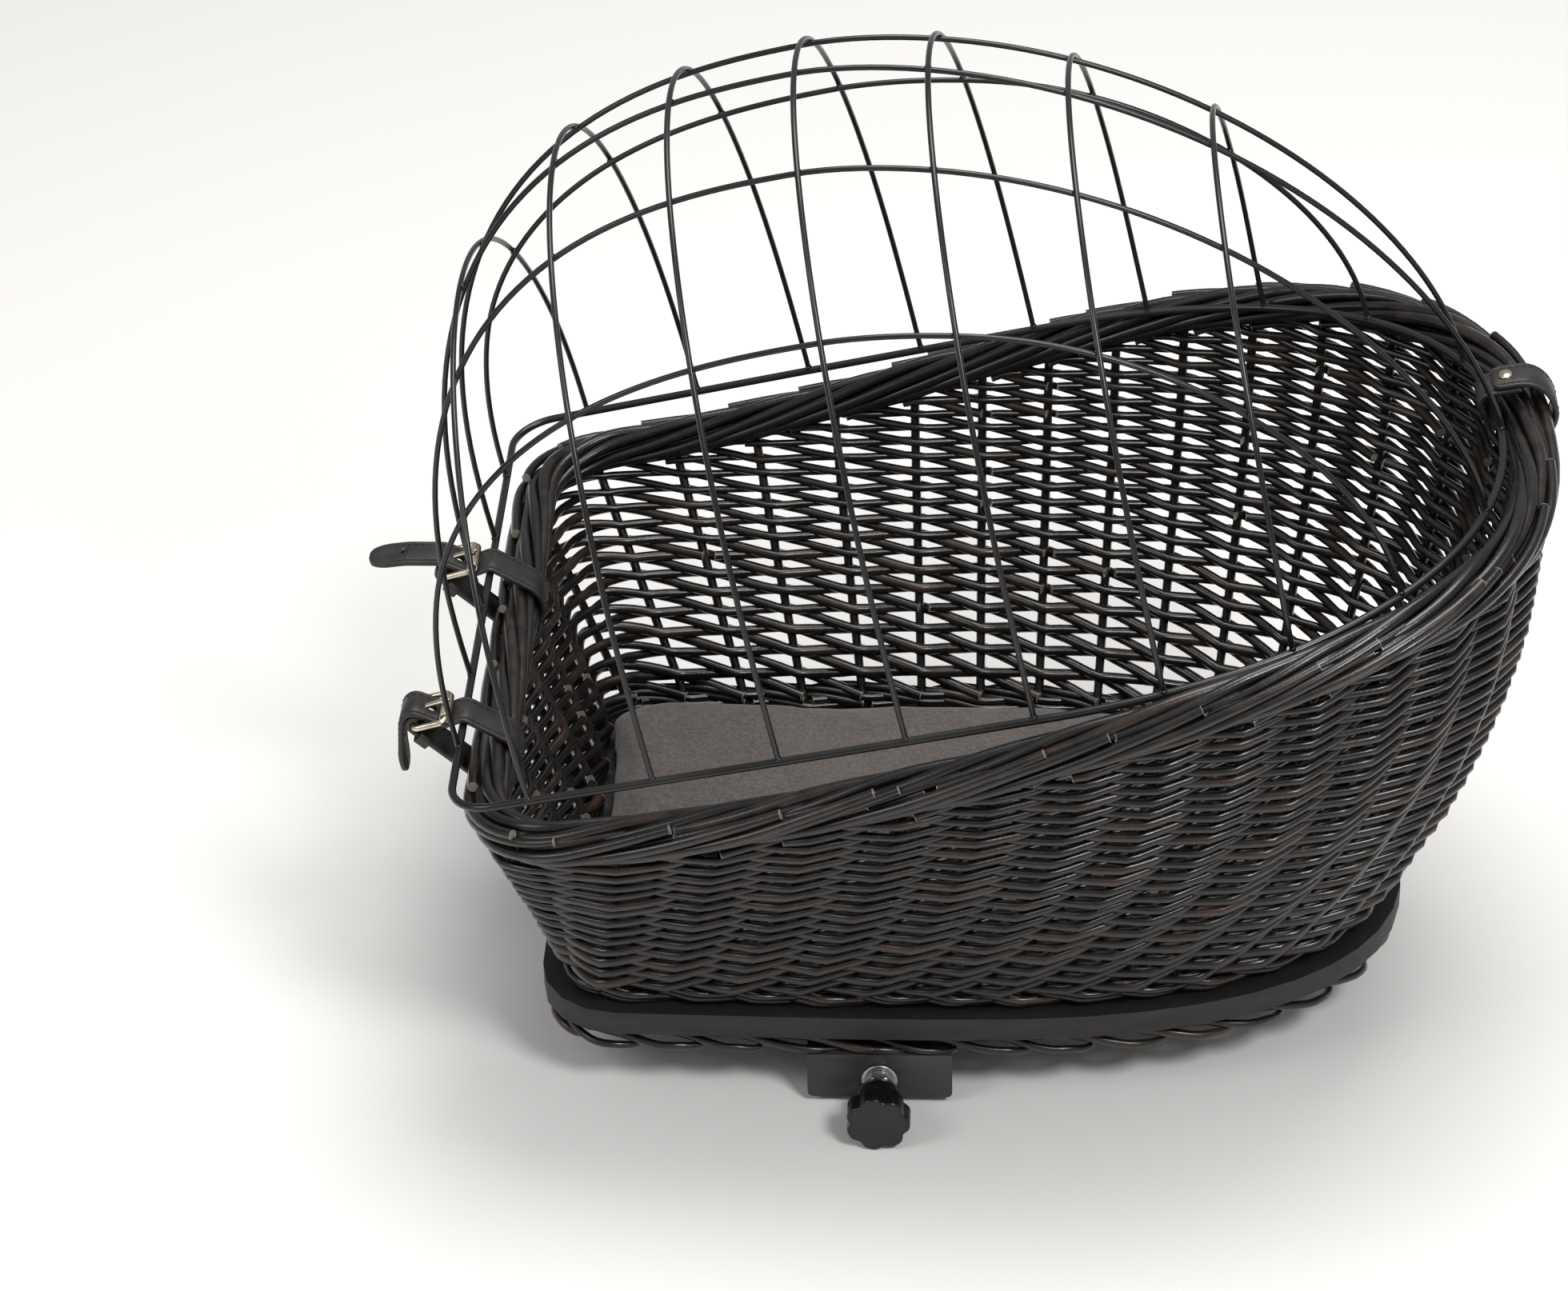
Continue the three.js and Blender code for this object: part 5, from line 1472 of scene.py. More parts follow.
def stitch_tree() -> RodTree:
    """Tree that lays one waxed stitch after another along each line."""
    rig = RodTree(
        "Stitches on a line",
        {"Pitch": ("Float", 0.0034), "Length": ("Float", 0.0012), "Radius": ("Float", 0.0004), "Seed": ("Int", SEED)},
    )
    size = rig.inputs
    curves = rig.add("GeometryNodeMeshToCurve", size["Surface"])
    points = rig.add("GeometryNodeResampleCurve", curves, into={"Length": size["Pitch"]}, mode="LENGTH")
    along = rig.add("GeometryNodeInputTangent")
    turned = rig.add("FunctionNodeAlignRotationToVector", into={"Vector": along}, axis="Z")
    stitch = rig.add("GeometryNodeMeshIcoSphere", 1.0, 1)
    scale = rig.add("ShaderNodeCombineXYZ", size["Radius"], size["Radius"], size["Length"])
    laid = rig.add("GeometryNodeInstanceOnPoints", points, None, stitch, into={"Rotation": turned, "Scale": scale})
    rig.finish(rig.add("GeometryNodeSetShadeSmooth", laid))
    return rig


def cut_by(piece: bpy.types.Object, *cutters: tuple[Array, list[list[int]]]) -> bpy.types.Object:
    """Cuts closed forms out of a piece, such as the holes in a strap.

    Args:
        piece: the piece, which is changed.
        cutters: points in millimetres and faces of each form.

    Returns:
        The same piece.
    """
    for number, (points, faces) in enumerate(cutters):
        cutter = piece_from(f"{piece.name}_cutter_{number}", mesh_from(f"cutter_{number}", points, faces, False))
        modifier = piece.modifiers.new("cut", "BOOLEAN")
        modifier.operation = "DIFFERENCE"
        modifier.solver = "EXACT"
        modifier.use_self = True
        modifier.object = cutter
        shaped = baked(piece)
        piece.modifiers.remove(modifier)
        piece.data = shaped
        bpy.data.objects.remove(cutter)
    return piece


def punch(spot: complex, way: complex, y: float, radius: float, reach: float = 4.0) -> tuple[Array, list[list[int]]]:
    """A round punch through a strap, at a place seen from the side and square to the way the strap runs."""
    across_strap = way / abs(way) * 1j
    path = across(np.array([spot - across_strap * reach, spot, spot + across_strap * reach]), y)
    return sweep(path, (0, 1, 0), round_section(radius, 16))


@dataclass
class Strap:
    """What every strap has: a creased leather band and a line of stitches along each edge."""

    basket: Basket
    cage: Cage
    width: float = 20.0
    thickness: float = 2.6
    touch: float = 0.3
    stitch_margin: float = 2.6

    def leather(
        self, name: str, flat: Array, y: float, tip: float, least: float
    ) -> tuple[bpy.types.Object, Array, Array]:
        """Makes the band.

        Args:
            name: the piece's name.
            flat: its middle line seen from the side, in complex numbers.
            y: its place across the basket.
            tip: length of its rounded tip.
            least: share of the width that the very tip keeps.

        Returns:
            The piece, the points of its middle line and the distance left from each to the tip.
        """
        path = resample(eased(resample(across(flat, y), 2.5), 2), 1.2)
        left = left_along(path)
        curve = np.sqrt(np.maximum(1 - ((tip - left) / tip) ** 2, 0))
        widths = np.where(left < tip, least + (1 - least) * curve, 1.0)
        section = creased_band(self.width, self.thickness, self.stitch_margin)
        return piece_of(name, sweep(path, (0, 1, 0), section, widths=widths), LEATHER), path, left

    def thread(self, name: str, path: Array, last: int) -> bpy.types.Object:
        """Lays stitches along both edges of both faces, as far as the last of the path's points that has them."""
        along = np.gradient(path, axis=0)
        along /= np.linalg.norm(along, axis=1, keepdims=True)
        off = np.cross(along, [0, 1, 0]) * (self.thickness / 2 - 0.05)
        aside = np.array([0, self.width / 2 - self.stitch_margin, 0])
        lines = [(path + edge * aside + face * off)[:last] for edge in (-1, 1) for face in (-1, 1)]
        return stitch_tree().grow(name, line_mesh("stitch_lines", lines), THREAD)


@dataclass
class FrontStraps(Strap):
    """The two leather straps that hold the dome down at the front, with their buckles and keepers."""

    places: tuple[tuple[Side, float, bool], ...] = ((Side.LEFT, -95.0, True), (Side.RIGHT, 38.0, False))
    tongue: float = 38.0
    spare_hole_share: float = 0.42
    slot_width: float = 5.0
    running: float = 0.5
    keeper_width: float = 7.0
    keeper_thickness: float = 1.8
    wire_radius: float = 1.6
    length: float = 15.0
    wire_gap: float = 8.5
    roller_rise: float = 5.2
    bar_drop: float = 4.4
    roller_radius: float = 2.9
    side_gap: float = 1.0
    prong_width: float = 3.2
    prong_thickness: float = 1.6

    def __post_init__(self) -> None:
        """Works out the places that the strap runs round, seen from the side."""
        lean = self.cage.lean
        front = -self.cage.frame.front
        self.wire = front * complex(math.cos(lean), math.sin(lean)) + 1j * self.cage.frame_height
        self.rim = complex(-self.basket.rim.front, self.basket.front_height)
        self.roller = self.wire + complex(-self.wire_gap, self.roller_rise)
        self.bar = self.roller - complex(self.length, self.bar_drop)
        half = self.thickness / 2
        self.rim_reach = self.basket.border_radius + self.running + half
        self.wire_reach = self.cage.frame_radius + self.running + half
        self.fold_reach = self.wire_radius + self.running + half
        self.over = self.bar + 1j * (self.fold_reach + self.thickness + self.running)
        self.under = self.roller - 1j * (self.roller_radius + self.running + half)
        self.leave = tangent_angle(self.rim, self.rim_reach, self.bar, self.fold_reach, 1)
        self.meet = tangent_angle(self.rim, self.rim_reach, self.wire, self.wire_reach, -1)

    def path(self, hangs: bool) -> Array:
        """Middle line of a strap: fold on the bar, round the border, over the wire, under the roller, tongue.

        Args:
            hangs: whether the tongue hangs down instead of standing out.

        Returns:
            Points in complex numbers.
        """
        pi = math.pi
        rise = self.fold_reach + self.thickness + self.running
        bend = self.bar - rise
        drop = bend - self.thickness / 2 - 0.5j * self.tongue
        low = bend - 0.8j * self.tongue
        if hangs:
            tongue = np.concatenate([arc(self.bar, rise, 0.6 * pi, 0.9 * pi, 3), [bend, drop, low]])
        else:
            tongue = np.array([self.over - 0.5 * self.tongue, self.over - self.tongue - 1j * self.thickness])
        return np.concatenate(
            [
                arc(self.bar, self.fold_reach, 0.3 * pi, self.leave, 12),
                arc(self.rim, self.rim_reach, self.leave, self.meet + 2 * pi, 24),
                arc(self.wire, self.wire_reach, self.meet, 0.6 * pi, 5),
                [self.under, self.over],
                tongue,
            ]
        )

    def strap(self, side: Side, y: float, hangs: bool) -> list[bpy.types.Object]:
        """A strap with a rounded tip, a slot for its prong, one punched hole and a stitch line along each edge."""
        tip = self.width * 0.55
        piece, path, left = self.leather(f"front_strap_{side.label}_leather", self.path(hangs), y, tip, 0.28)
        half = self.slot_width / 2
        ring = self.fold_reach + self.thickness / 2 + self.touch / 2
        block = np.array(
            [
                (self.bar.real + x * ring, y + s * half, self.bar.imag + z * ring)
                for z in (-1, 1)
                for x, s in ((-1, -1), (1, -1), (1, 1), (-1, 1))
            ]
        )
        slot = (block, [[3, 2, 1, 0], [4, 5, 6, 7], [0, 1, 5, 4], [1, 2, 6, 5], [2, 3, 7, 6], [3, 0, 4, 7]])
        pin_hole = punch((self.under + self.over) / 2, self.over - self.under, y, half, 5.0)
        last = path[-1] - path[-9]
        spot = path[-round(self.tongue * self.spare_hole_share)]
        spare_hole = punch(complex(spot[0], spot[2]), complex(last[0], last[2]), y, 1.7, 3.0)
        cut_by(piece, slot, pin_hole, spare_hole)
        return [piece, self.thread(f"front_strap_{side.label}_thread", path, int(np.sum(left > tip + 2)))]

    def keeper(self, side: Side, y: float) -> bpy.types.Object:
        """A small leather loop round the strap below the buckle."""
        upper = self.bar + self.fold_reach * np.exp(1j * self.leave)
        lower = self.rim + self.rim_reach * np.exp(1j * self.leave)
        along = (lower - upper) / abs(lower - upper)
        centre = upper + along * self.keeper_width * 1.2
        off = complex(along.imag, -along.real)
        gap = self.touch + self.keeper_thickness / 2
        high, wide = self.thickness / 2 + gap, self.width / 2 + gap
        loop = rounded_box(complex(-wide, -high), complex(wide, high), 1.2, 4)
        path = across(centre + off * loop.imag, y) + np.outer(loop.real, (0, 1, 0))
        section = band_section(self.keeper_width, self.keeper_thickness, 0.6)
        form = sweep(path, (along.real, 0, along.imag), section, True)
        return piece_of(f"front_keeper_{side.label}_leather", form, LEATHER)

    def buckle(self, side: Side, y: float) -> tuple[bpy.types.Object, bpy.types.Object, bpy.types.Object]:
        """The buckle's wire frame, its roller tube and its prong."""
        along = self.roller - self.bar
        way = along / abs(along)
        half = self.width / 2 + self.side_gap + self.wire_radius
        corner = self.wire_radius * 1.5
        loop = rounded_box(complex(0, -half), complex(abs(along), half), corner, 6)
        loop = np.append(loop, loop[:1])
        frame_line = resample(across(self.bar + way * loop.real, y) + np.outer(loop.imag, (0, 1, 0)), 1.0)[:-1]
        frame = wire_tree().grow(
            f"front_buckle_{side.label}_wire",
            line_mesh("buckle_line", [frame_line], closed=True),
            NICKEL,
            Radius=self.wire_radius * MM,
        )
        bore = self.wire_radius + self.touch
        wall = self.roller_radius - bore
        circle = across(arc(self.roller, (bore + self.roller_radius) / 2, 0, 2 * math.pi, 36)[:-1], y)
        tube = band_section(self.width - 2 * self.running, wall, wall * 0.4, 3)
        roller = piece_of(f"front_roller_{side.label}_tube", sweep(circle, (0, 1, 0), tube, True), NICKEL)
        eye = bore + self.prong_thickness / 2
        rest = self.roller_radius + self.touch + self.prong_thickness / 2
        round_bar = eye * np.exp(-1j * np.radians(np.linspace(-20, 262, 28)))
        far = abs(along)
        tip = far + self.roller_radius + 1j * (rest - 0.2)
        finger = np.array([far * 0.55 + 1j * rest * 0.93, far + 1j * rest, tip])
        line = np.concatenate([round_bar, finger])
        line = across(self.bar + line * way, y)
        path = resample(eased(line, 1), 0.6)
        widths = np.minimum(0.5 + 0.25 * left_along(path), 1.0)
        section = band_section(self.prong_width, self.prong_thickness, 0.7)
        form = sweep(path, (0, 1, 0), section, widths=widths)
        return frame, roller, piece_of(f"front_prong_{side.label}_steel", form, NICKEL)


@dataclass
class RearStrap(Strap):
    """The leather loop that hinges the dome on the border, lapped and riveted on top."""

    place: float = 35.0
    clearance: float = 2.3
    lap: float = 13.0
    rivet_radius: float = 4.0
    rivet_head: float = 1.6

    def __post_init__(self) -> None:
        """Works out what the strap runs round, seen from the side."""
        lean = self.cage.lean
        rim_x = self.basket.rim.rear_place(self.place)
        self.rim = complex(rim_x, float(self.basket.rim_height(rim_x)))
        wire_x = self.cage.frame.rear_place(self.place)
        self.wire = wire_x * complex(math.cos(lean), math.sin(lean)) + 1j * self.cage.frame_height
        self.rim_reach = self.basket.border_radius + self.clearance + self.thickness / 2
        self.wire_reach = self.cage.frame_radius + self.clearance + self.thickness / 2
        self.top = tangent_angle(self.rim, self.rim_reach, self.wire, self.wire_reach, -1)
        self.bottom = tangent_angle(self.rim, self.rim_reach, self.wire, self.wire_reach, 1)

    def build(self) -> list[bpy.types.Object]:
        """Makes the strap, its thread and its rivet."""
        lift = self.thickness + self.touch
        out = np.exp(1j * self.top)
        outer = arc(self.rim, self.rim_reach, self.bottom, self.top + 2 * math.pi, 28)
        grow = smooth(np.maximum(np.linspace(0, 1, len(outer)) * 3 - 2, 0))
        outer = outer + (outer - self.rim) / np.abs(outer - self.rim) * lift * grow
        flat = np.concatenate(
            [
                [self.rim + self.rim_reach * out],
                arc(self.wire, self.wire_reach, self.top, self.bottom, 14),
                outer,
                [self.rim + (self.rim_reach + lift) * out + out * 1j * self.lap],
            ]
        )
        strap, path, _ = self.leather("rear_strap_leather", flat, self.place, 5.0, 0.72)
        thread = self.thread("rear_strap_thread", path, -5)
        spot = self.rim + self.rim_reach * out + out * 1j * self.lap / 2
        upper = self.thickness * 1.5 + self.touch * 2
        lower = -self.thickness / 2 - self.touch
        shape = [(0.05, lower - 0.8), (2.6, lower - 0.8), (3.2, lower - 0.4), (3.2, lower)]
        shape += [(1.8, lower), (1.8, upper)]
        for i in range(9):
            angle = math.pi / 2 * i / 8
            shape.append((max(self.rivet_radius * math.cos(angle), 0.05), upper + self.rivet_head * math.sin(angle)))
        rings = []
        for radius, height in shape:
            spin = np.arange(28) * 2 * math.pi / 28
            side = out * 1j * radius * np.cos(spin) * 0.86
            base = spot + out * height + side
            rings.append(np.stack([base.real, self.place + radius * np.sin(spin), base.imag], 1))
        return [strap, thread, piece_of("rear_rivet_nickel", skin(np.array(rings)), NICKEL)]


def refined(node: str, name: str, finish: Finish, edge: float, fold: float = 35.0) -> bpy.types.Object:
    """Copies a CAD node and rounds its edges.

    Args:
        node: the CAD node.
        name: name of the new piece.
        finish: its finish.
        edge: radius of the rounded edges, in millimetres.
        fold: least angle, in degrees, at which two faces make an edge.

    Returns:
        The new piece.
    """
    mesh = bpy.data.objects[node].data.copy()
    work = bmesh.new()
    work.from_mesh(mesh)
    bmesh.ops.remove_doubles(work, verts=work.verts, dist=1e-6)
    bmesh.ops.dissolve_limit(work, angle_limit=math.radians(0.5), verts=work.verts, edges=work.edges)
    folded = [e for e in work.edges if e.is_manifold and e.calc_face_angle(0.0) > math.radians(fold)]
    bmesh.ops.bevel(work, geom=folded, offset=edge * MM, segments=2, profile=0.6, affect="EDGES", clamp_overlap=True)
    work.to_mesh(mesh)
    work.free()
    mesh.polygons.foreach_set("use_smooth", [True] * len(mesh.polygons))
    mesh.set_sharp_from_angle(angle=math.radians(fold))
    mesh.name = name
    return piece_from(name, mesh, finish.make())


@dataclass
class Cushion:
    """The loose suede cushion: foam in a soft cover, filled by a cloth simulation."""

    basket: Basket
    inset: float = 24.0
    bottom: float = 28.4
    edge_height: float = 20.0
    crown: float = 7.0
    draw_in: float = 4.0
    shrink: float = 2.0
    most_swell: float = 5.0
    front_reach: float = 8.0
    front_lean: float = 0.3
    voxel: float = 4.2
    rumple: float = 1.5
    levels: tuple[tuple[float, float], ...] = (
        (0.04, 0.0),
        (0.3, 0.0),
        (0.6, 0.0),
        (0.93, 0.01),
        (0.985, 0.12),
        (1.0, 0.34),
        (0.995, 0.62),
        (0.97, 0.86),
        (0.91, 1.0),
        (0.74, 1.0),
        (0.5, 1.0),
        (0.24, 1.0),
        (0.04, 1.0),
    )

    def form(self) -> bpy.types.Mesh:
        """The pad before it is filled, a little smaller than the space that the CAD keeps for it."""
        plan = self.basket.board.inset(self.inset + self.shrink)
        loop = plan.loop(2)
        out = outwards(loop)
        middle = (plan.rear - plan.front) / 2
        corner = plan.front_half_width - plan.corner_radius
        at_front = np.cos(np.clip(loop[:, 1] / corner, -1, 1) * math.pi / 2) * np.maximum(-out[:, 0], 0)
        at_side = np.cos((loop[:, 0] - middle) / plan.rear * math.pi / 2) * np.abs(out[:, 1])
        drawn = loop - out * (self.draw_in * np.maximum(np.maximum(at_front, at_side), 0))[:, None]
        rings = []
        for reach, height in self.levels:
            crown = (self.crown - self.shrink) * (1 - reach * reach) if height == 1 else 0.0
            z = self.bottom + 0.4 + (self.edge_height - self.shrink) * height + crown
            x = middle + (drawn[:, 0] - middle) * reach
            x = x - np.maximum(-out[:, 0], 0) * reach**8 * (self.front_reach + self.front_lean * (z - self.bottom))
            rings.append(np.column_stack([x, drawn[:, 1] * reach, np.full(len(drawn), z)]))
        return mesh_from("cushion_form", *skin(np.array(rings)))

    def build(self) -> bpy.types.Object:
        """Fills the cover by simulation, lays it flat underneath and rumples it softly."""
        pad = piece_from("cushion_cover", self.form(), SUEDE.make())
        remesh = pad.modifiers.new("remesh", "REMESH")
        remesh.mode = "VOXEL"
        remesh.voxel_size = self.voxel * MM
        even = baked(pad)
        pad.modifiers.remove(remesh)
        pad.data = even
        start = np.array([v.co for v in even.vertices])
        cloth = pad.modifiers.new("cloth", "CLOTH")
        settings = cloth.settings
        settings.quality = 6
        settings.mass = 0.3
        settings.tension_stiffness = 12
        settings.compression_stiffness = 12
        settings.bending_stiffness = 0.6
        settings.use_pressure = True
        settings.uniform_pressure_force = 4.0
        settings.effector_weights.gravity = 0.0
        scene = bpy.context.scene
        for step in range(1, 21):
            scene.frame_set(step)
            pad.evaluated_get(bpy.context.evaluated_depsgraph_get())
        filled = baked(pad)
        pad.modifiers.remove(cloth)
        scene.frame_set(1)
        pad.data = filled
        spots = np.array([v.co for v in pad.data.vertices])
        moved = spots - start
        size = np.linalg.norm(moved, axis=1, keepdims=True)
        cap = self.most_swell * MM
        spots = start + moved * np.minimum(1, cap / np.maximum(size, 1e-9))
        spots[:, 2] = np.maximum(spots[:, 2], self.bottom * MM)
        pad.data.vertices.foreach_set("co", spots.astype(np.float32).ravel())
        LOG.info("cushion swelled by %.1f mm at most", float(size.max()) * 1000)
        for name, grain, depth in (("rumples", 46.0, self.rumple), ("wrinkles", 17.0, 0.4 * self.rumple)):
            cloud = bpy.data.textures.new(name, "CLOUDS")
            cloud.noise_scale = grain * MM
            cloud.noise_depth = 2
            push = pad.modifiers.new(name, "DISPLACE")
            push.texture = cloud
            push.texture_coords = "LOCAL"
            push.strength = 2 * depth * MM
            push.mid_level = 0.6
        finer = pad.modifiers.new("finer", "SUBSURF")
        finer.levels = finer.render_levels = 1
        shaped = baked(pad)
        pad.modifiers.clear()
        pad.data = shaped
        spots = np.array([v.co for v in shaped.vertices])
        spots[:, 2] = np.maximum(spots[:, 2], self.bottom * MM)
        shaped.vertices.foreach_set("co", spots.astype(np.float32).ravel())
        shaped.polygons.foreach_set("use_smooth", [True] * len(shaped.polygons))
        shaped.update()
        return pad


@dataclass
class Base:
    """What carries the basket: the board, the packing block, the rack channel and the bolts through them."""

    bolts: int = 4

    def board(self) -> bpy.types.Object:
        """The plywood board with its edges broken by hand."""
        return refined("base_board", "base_board_plywood", BOARD, 1.3, 50.0)

    def packing(self) -> bpy.types.Object:
        """The block between the board and the channel."""
        return refined("packing_block", "packing_block_plywood", BOARD, 0.8)

    def channel(self) -> bpy.types.Object:
        """The folded channel."""
        return refined("rack_channel", "rack_channel_steel", CHANNEL_COAT, 0.5)

    def fasteners(self) -> list[tuple[str, bpy.types.Object]]:
        """The bolts, washers and nuts, each with the node that it replaces."""
        made = []
        for number in range(1, self.bolts + 1):
            for kind, edge in (("bolt", 0.3), ("washer", 0.25), ("nut", 0.35)):
                node = f"board_{kind}_{number}"
                made.append((node, refined(node, f"{node}_zinc", ZINC, edge)))
        return made


@dataclass
class Clamp:
    """One side's clamp: jaw, threaded stud, nut, washer and star knob. Distances run out from the middle."""

    side: Side
    axis_height: float = -12.0
    washer_start: float = 138.3
    washer_end: float = 139.9
    washer_radius: float = 9.0
    nut_start: float = 140.2
    nut_end: float = 146.7
    nut_across: float = 13.0
    hole_radius: float = 4.3
    stud_start: float = 79.0
    stud_end: float = 165.4
    stud_radius: float = 4.0
    thread_pitch: float = 1.25
    thread_depth: float = 0.45
    hub_start: float = 150.7
    disc_start: float = 162.7
    disc_end: float = 174.7
    hub_radius: float = 10.5
    disc_radius: float = 16.0
    disc_bevel: float = 1.4
    lobes: int = 7
    lobe_depth: float = 0.12

    def turned(
        self, name: str, rings: Sequence[tuple[Array, float]], finish: Finish, closed: bool
    ) -> bpy.types.Object:
        """Makes a turned form from outlines across the clamp's axis.

        Args:
            name: the piece's name.
            rings: radius at each spot round the axis, and distance from the middle, or an array of them.
            finish: its finish.
            closed: whether the last outline joins the first, as on a ring.

        Returns:
            The piece, facing out on this side.
        """
        spots = len(rings[0][0])
        angles = np.arange(spots) * 2 * math.pi / spots
        sign = self.side.value
        skinned = []
        for radius, reach in rings:
            x = radius * np.cos(angles) * -sign
            z = radius * np.sin(angles) + self.axis_height
            skinned.append(np.stack([x, np.broadcast_to(reach, x.shape) * sign, z], 1))
        return piece_of(name, skin(np.array(skinned), closed), finish)

    def washer(self) -> bpy.types.Object:
        """The washer against the channel's flange, its edges rolled by stamping."""
        even = np.ones(48)
        low, high, edge = self.washer_start, self.washer_end, 0.35
        outline = [
            (self.hole_radius, low + edge),
            (self.hole_radius + edge, low),
            (self.washer_radius - edge, low),
            (self.washer_radius, low + edge),
            (self.washer_radius, high - edge),
            (self.washer_radius - edge, high),
            (self.hole_radius + edge, high),
            (self.hole_radius, high - edge),
        ]
        rings = [(even * radius, reach) for radius, reach in outline]
        return self.turned(f"clamp_washer_{self.side.label}_zinc", rings, ZINC, True)

    def nut(self) -> bpy.types.Object:
        """A hexagon nut with chamfered corners."""
        angles = np.arange(72) * 2 * math.pi / 72
        turned = angles % (math.pi / 3) - math.pi / 6
        hexagon = self.nut_across / 2 / np.cos(turned)
        face = np.full(72, self.nut_across / 2 * 0.97)
        shoulder = np.minimum(hexagon, self.nut_across / 2 * 1.04)
        bore = np.full(72, self.hole_radius)
        low, high = self.nut_start, self.nut_end
        rings = [
            (bore, low + 0.4),
            (bore + 0.4, low),
            (face, low),
            (shoulder, low + 0.3),
            (hexagon, low + 0.9),
            (hexagon, high - 0.9),
            (shoulder, high - 0.3),
            (face, high),
            (bore + 0.4, high),
            (bore, high - 0.4),
        ]
        piece = self.turned(f"clamp_nut_{self.side.label}_zinc", rings, ZINC, True)
        piece.data.set_sharp_from_angle(angle=math.radians(25))
        return piece

    def stud(self) -> bpy.types.Object:
        """The threaded stud."""
        spots = 20
        angles = np.arange(spots) * 2 * math.pi / spots
        steps = 5
        count = round((self.stud_end - self.stud_start) / self.thread_pitch * steps)
        rings = []
        for i in range(count + 1):
            reach = self.stud_start + (self.stud_end - self.stud_start) * i / count
            turn = (reach / self.thread_pitch + angles / (2 * math.pi)) % 1.0
            groove = self.thread_depth * np.abs(2 * turn - 1)
            end = min(i, count - i, 4) / 4
            rings.append((self.stud_radius - 0.05 - groove - 0.5 * (1 - end), reach))
        return self.turned(f"clamp_stud_{self.side.label}_zinc", rings, ZINC, False)

    def knob(self) -> bpy.types.Object:
        """The star knob: a round hub, a disc with seven lobes and a slightly hollow satin face."""
        spots = 126
        angles = np.arange(spots) * 2 * math.pi / spots
        wave = (1 - np.cos(self.lobes * angles)) / 2
        lobed = self.disc_radius * (1 - self.lobe_depth * wave * wave)
        even = np.ones(spots)
        hub, bevel = self.hub_radius, self.disc_bevel
        low, high = self.disc_start, self.disc_end
        rings = [(even * 4.1, self.hub_start + 0.5), (even * (hub - 1.6), self.hub_start)]
        rings += [
            (even * (hub - 0.8 * math.cos(a)), self.hub_start + 0.8 * (1 - math.sin(a)) + 0.2)
            for a in np.linspace(math.pi / 2, 0, 4)
        ]
        rings += [(even * hub * 1.0, low - 1.4), (even * (hub + 0.3), low - 0.5), (even * (hub + 1.0), low)]
        for a in np.linspace(0, math.pi / 2, 6):
            rings.append((lobed - bevel * (1 - math.sin(a)), low + bevel * (1 - math.cos(a))))
        for a in np.linspace(0, math.pi / 2, 6):
            rings.append((lobed - bevel * (1 - math.cos(a)), high - bevel * (1 - math.sin(a))))
        edge = len(rings)
        inner = lobed - bevel
        rings += [(inner - 0.7, high), (inner - 1.2, high - 0.35), (inner * 0.72, high - 0.6)]
        rings += [(inner * 0.4, high - 0.75), (even * 2.0, high - 0.8), (even * 0.2, high - 0.8)]
        piece = self.turned(f"clamp_knob_{self.side.label}_nylon", rings, KNOB, False)
        piece.data.materials.append(KNOB_FACE.make())
        for face in piece.data.polygons:
            is_cap = len(face.vertices) > 4 and face.center.y * self.side.value > high * 0.99 * MM
            if face.index >= edge * spots or is_cap:
                face.material_index = 1
        return piece

    def jaw(self) -> bpy.types.Object:
        """The jaw inside the channel."""
        return refined(f"clamp_jaw_{self.side.label}", f"clamp_jaw_{self.side.label}_steel", CHANNEL_COAT, 0.5)


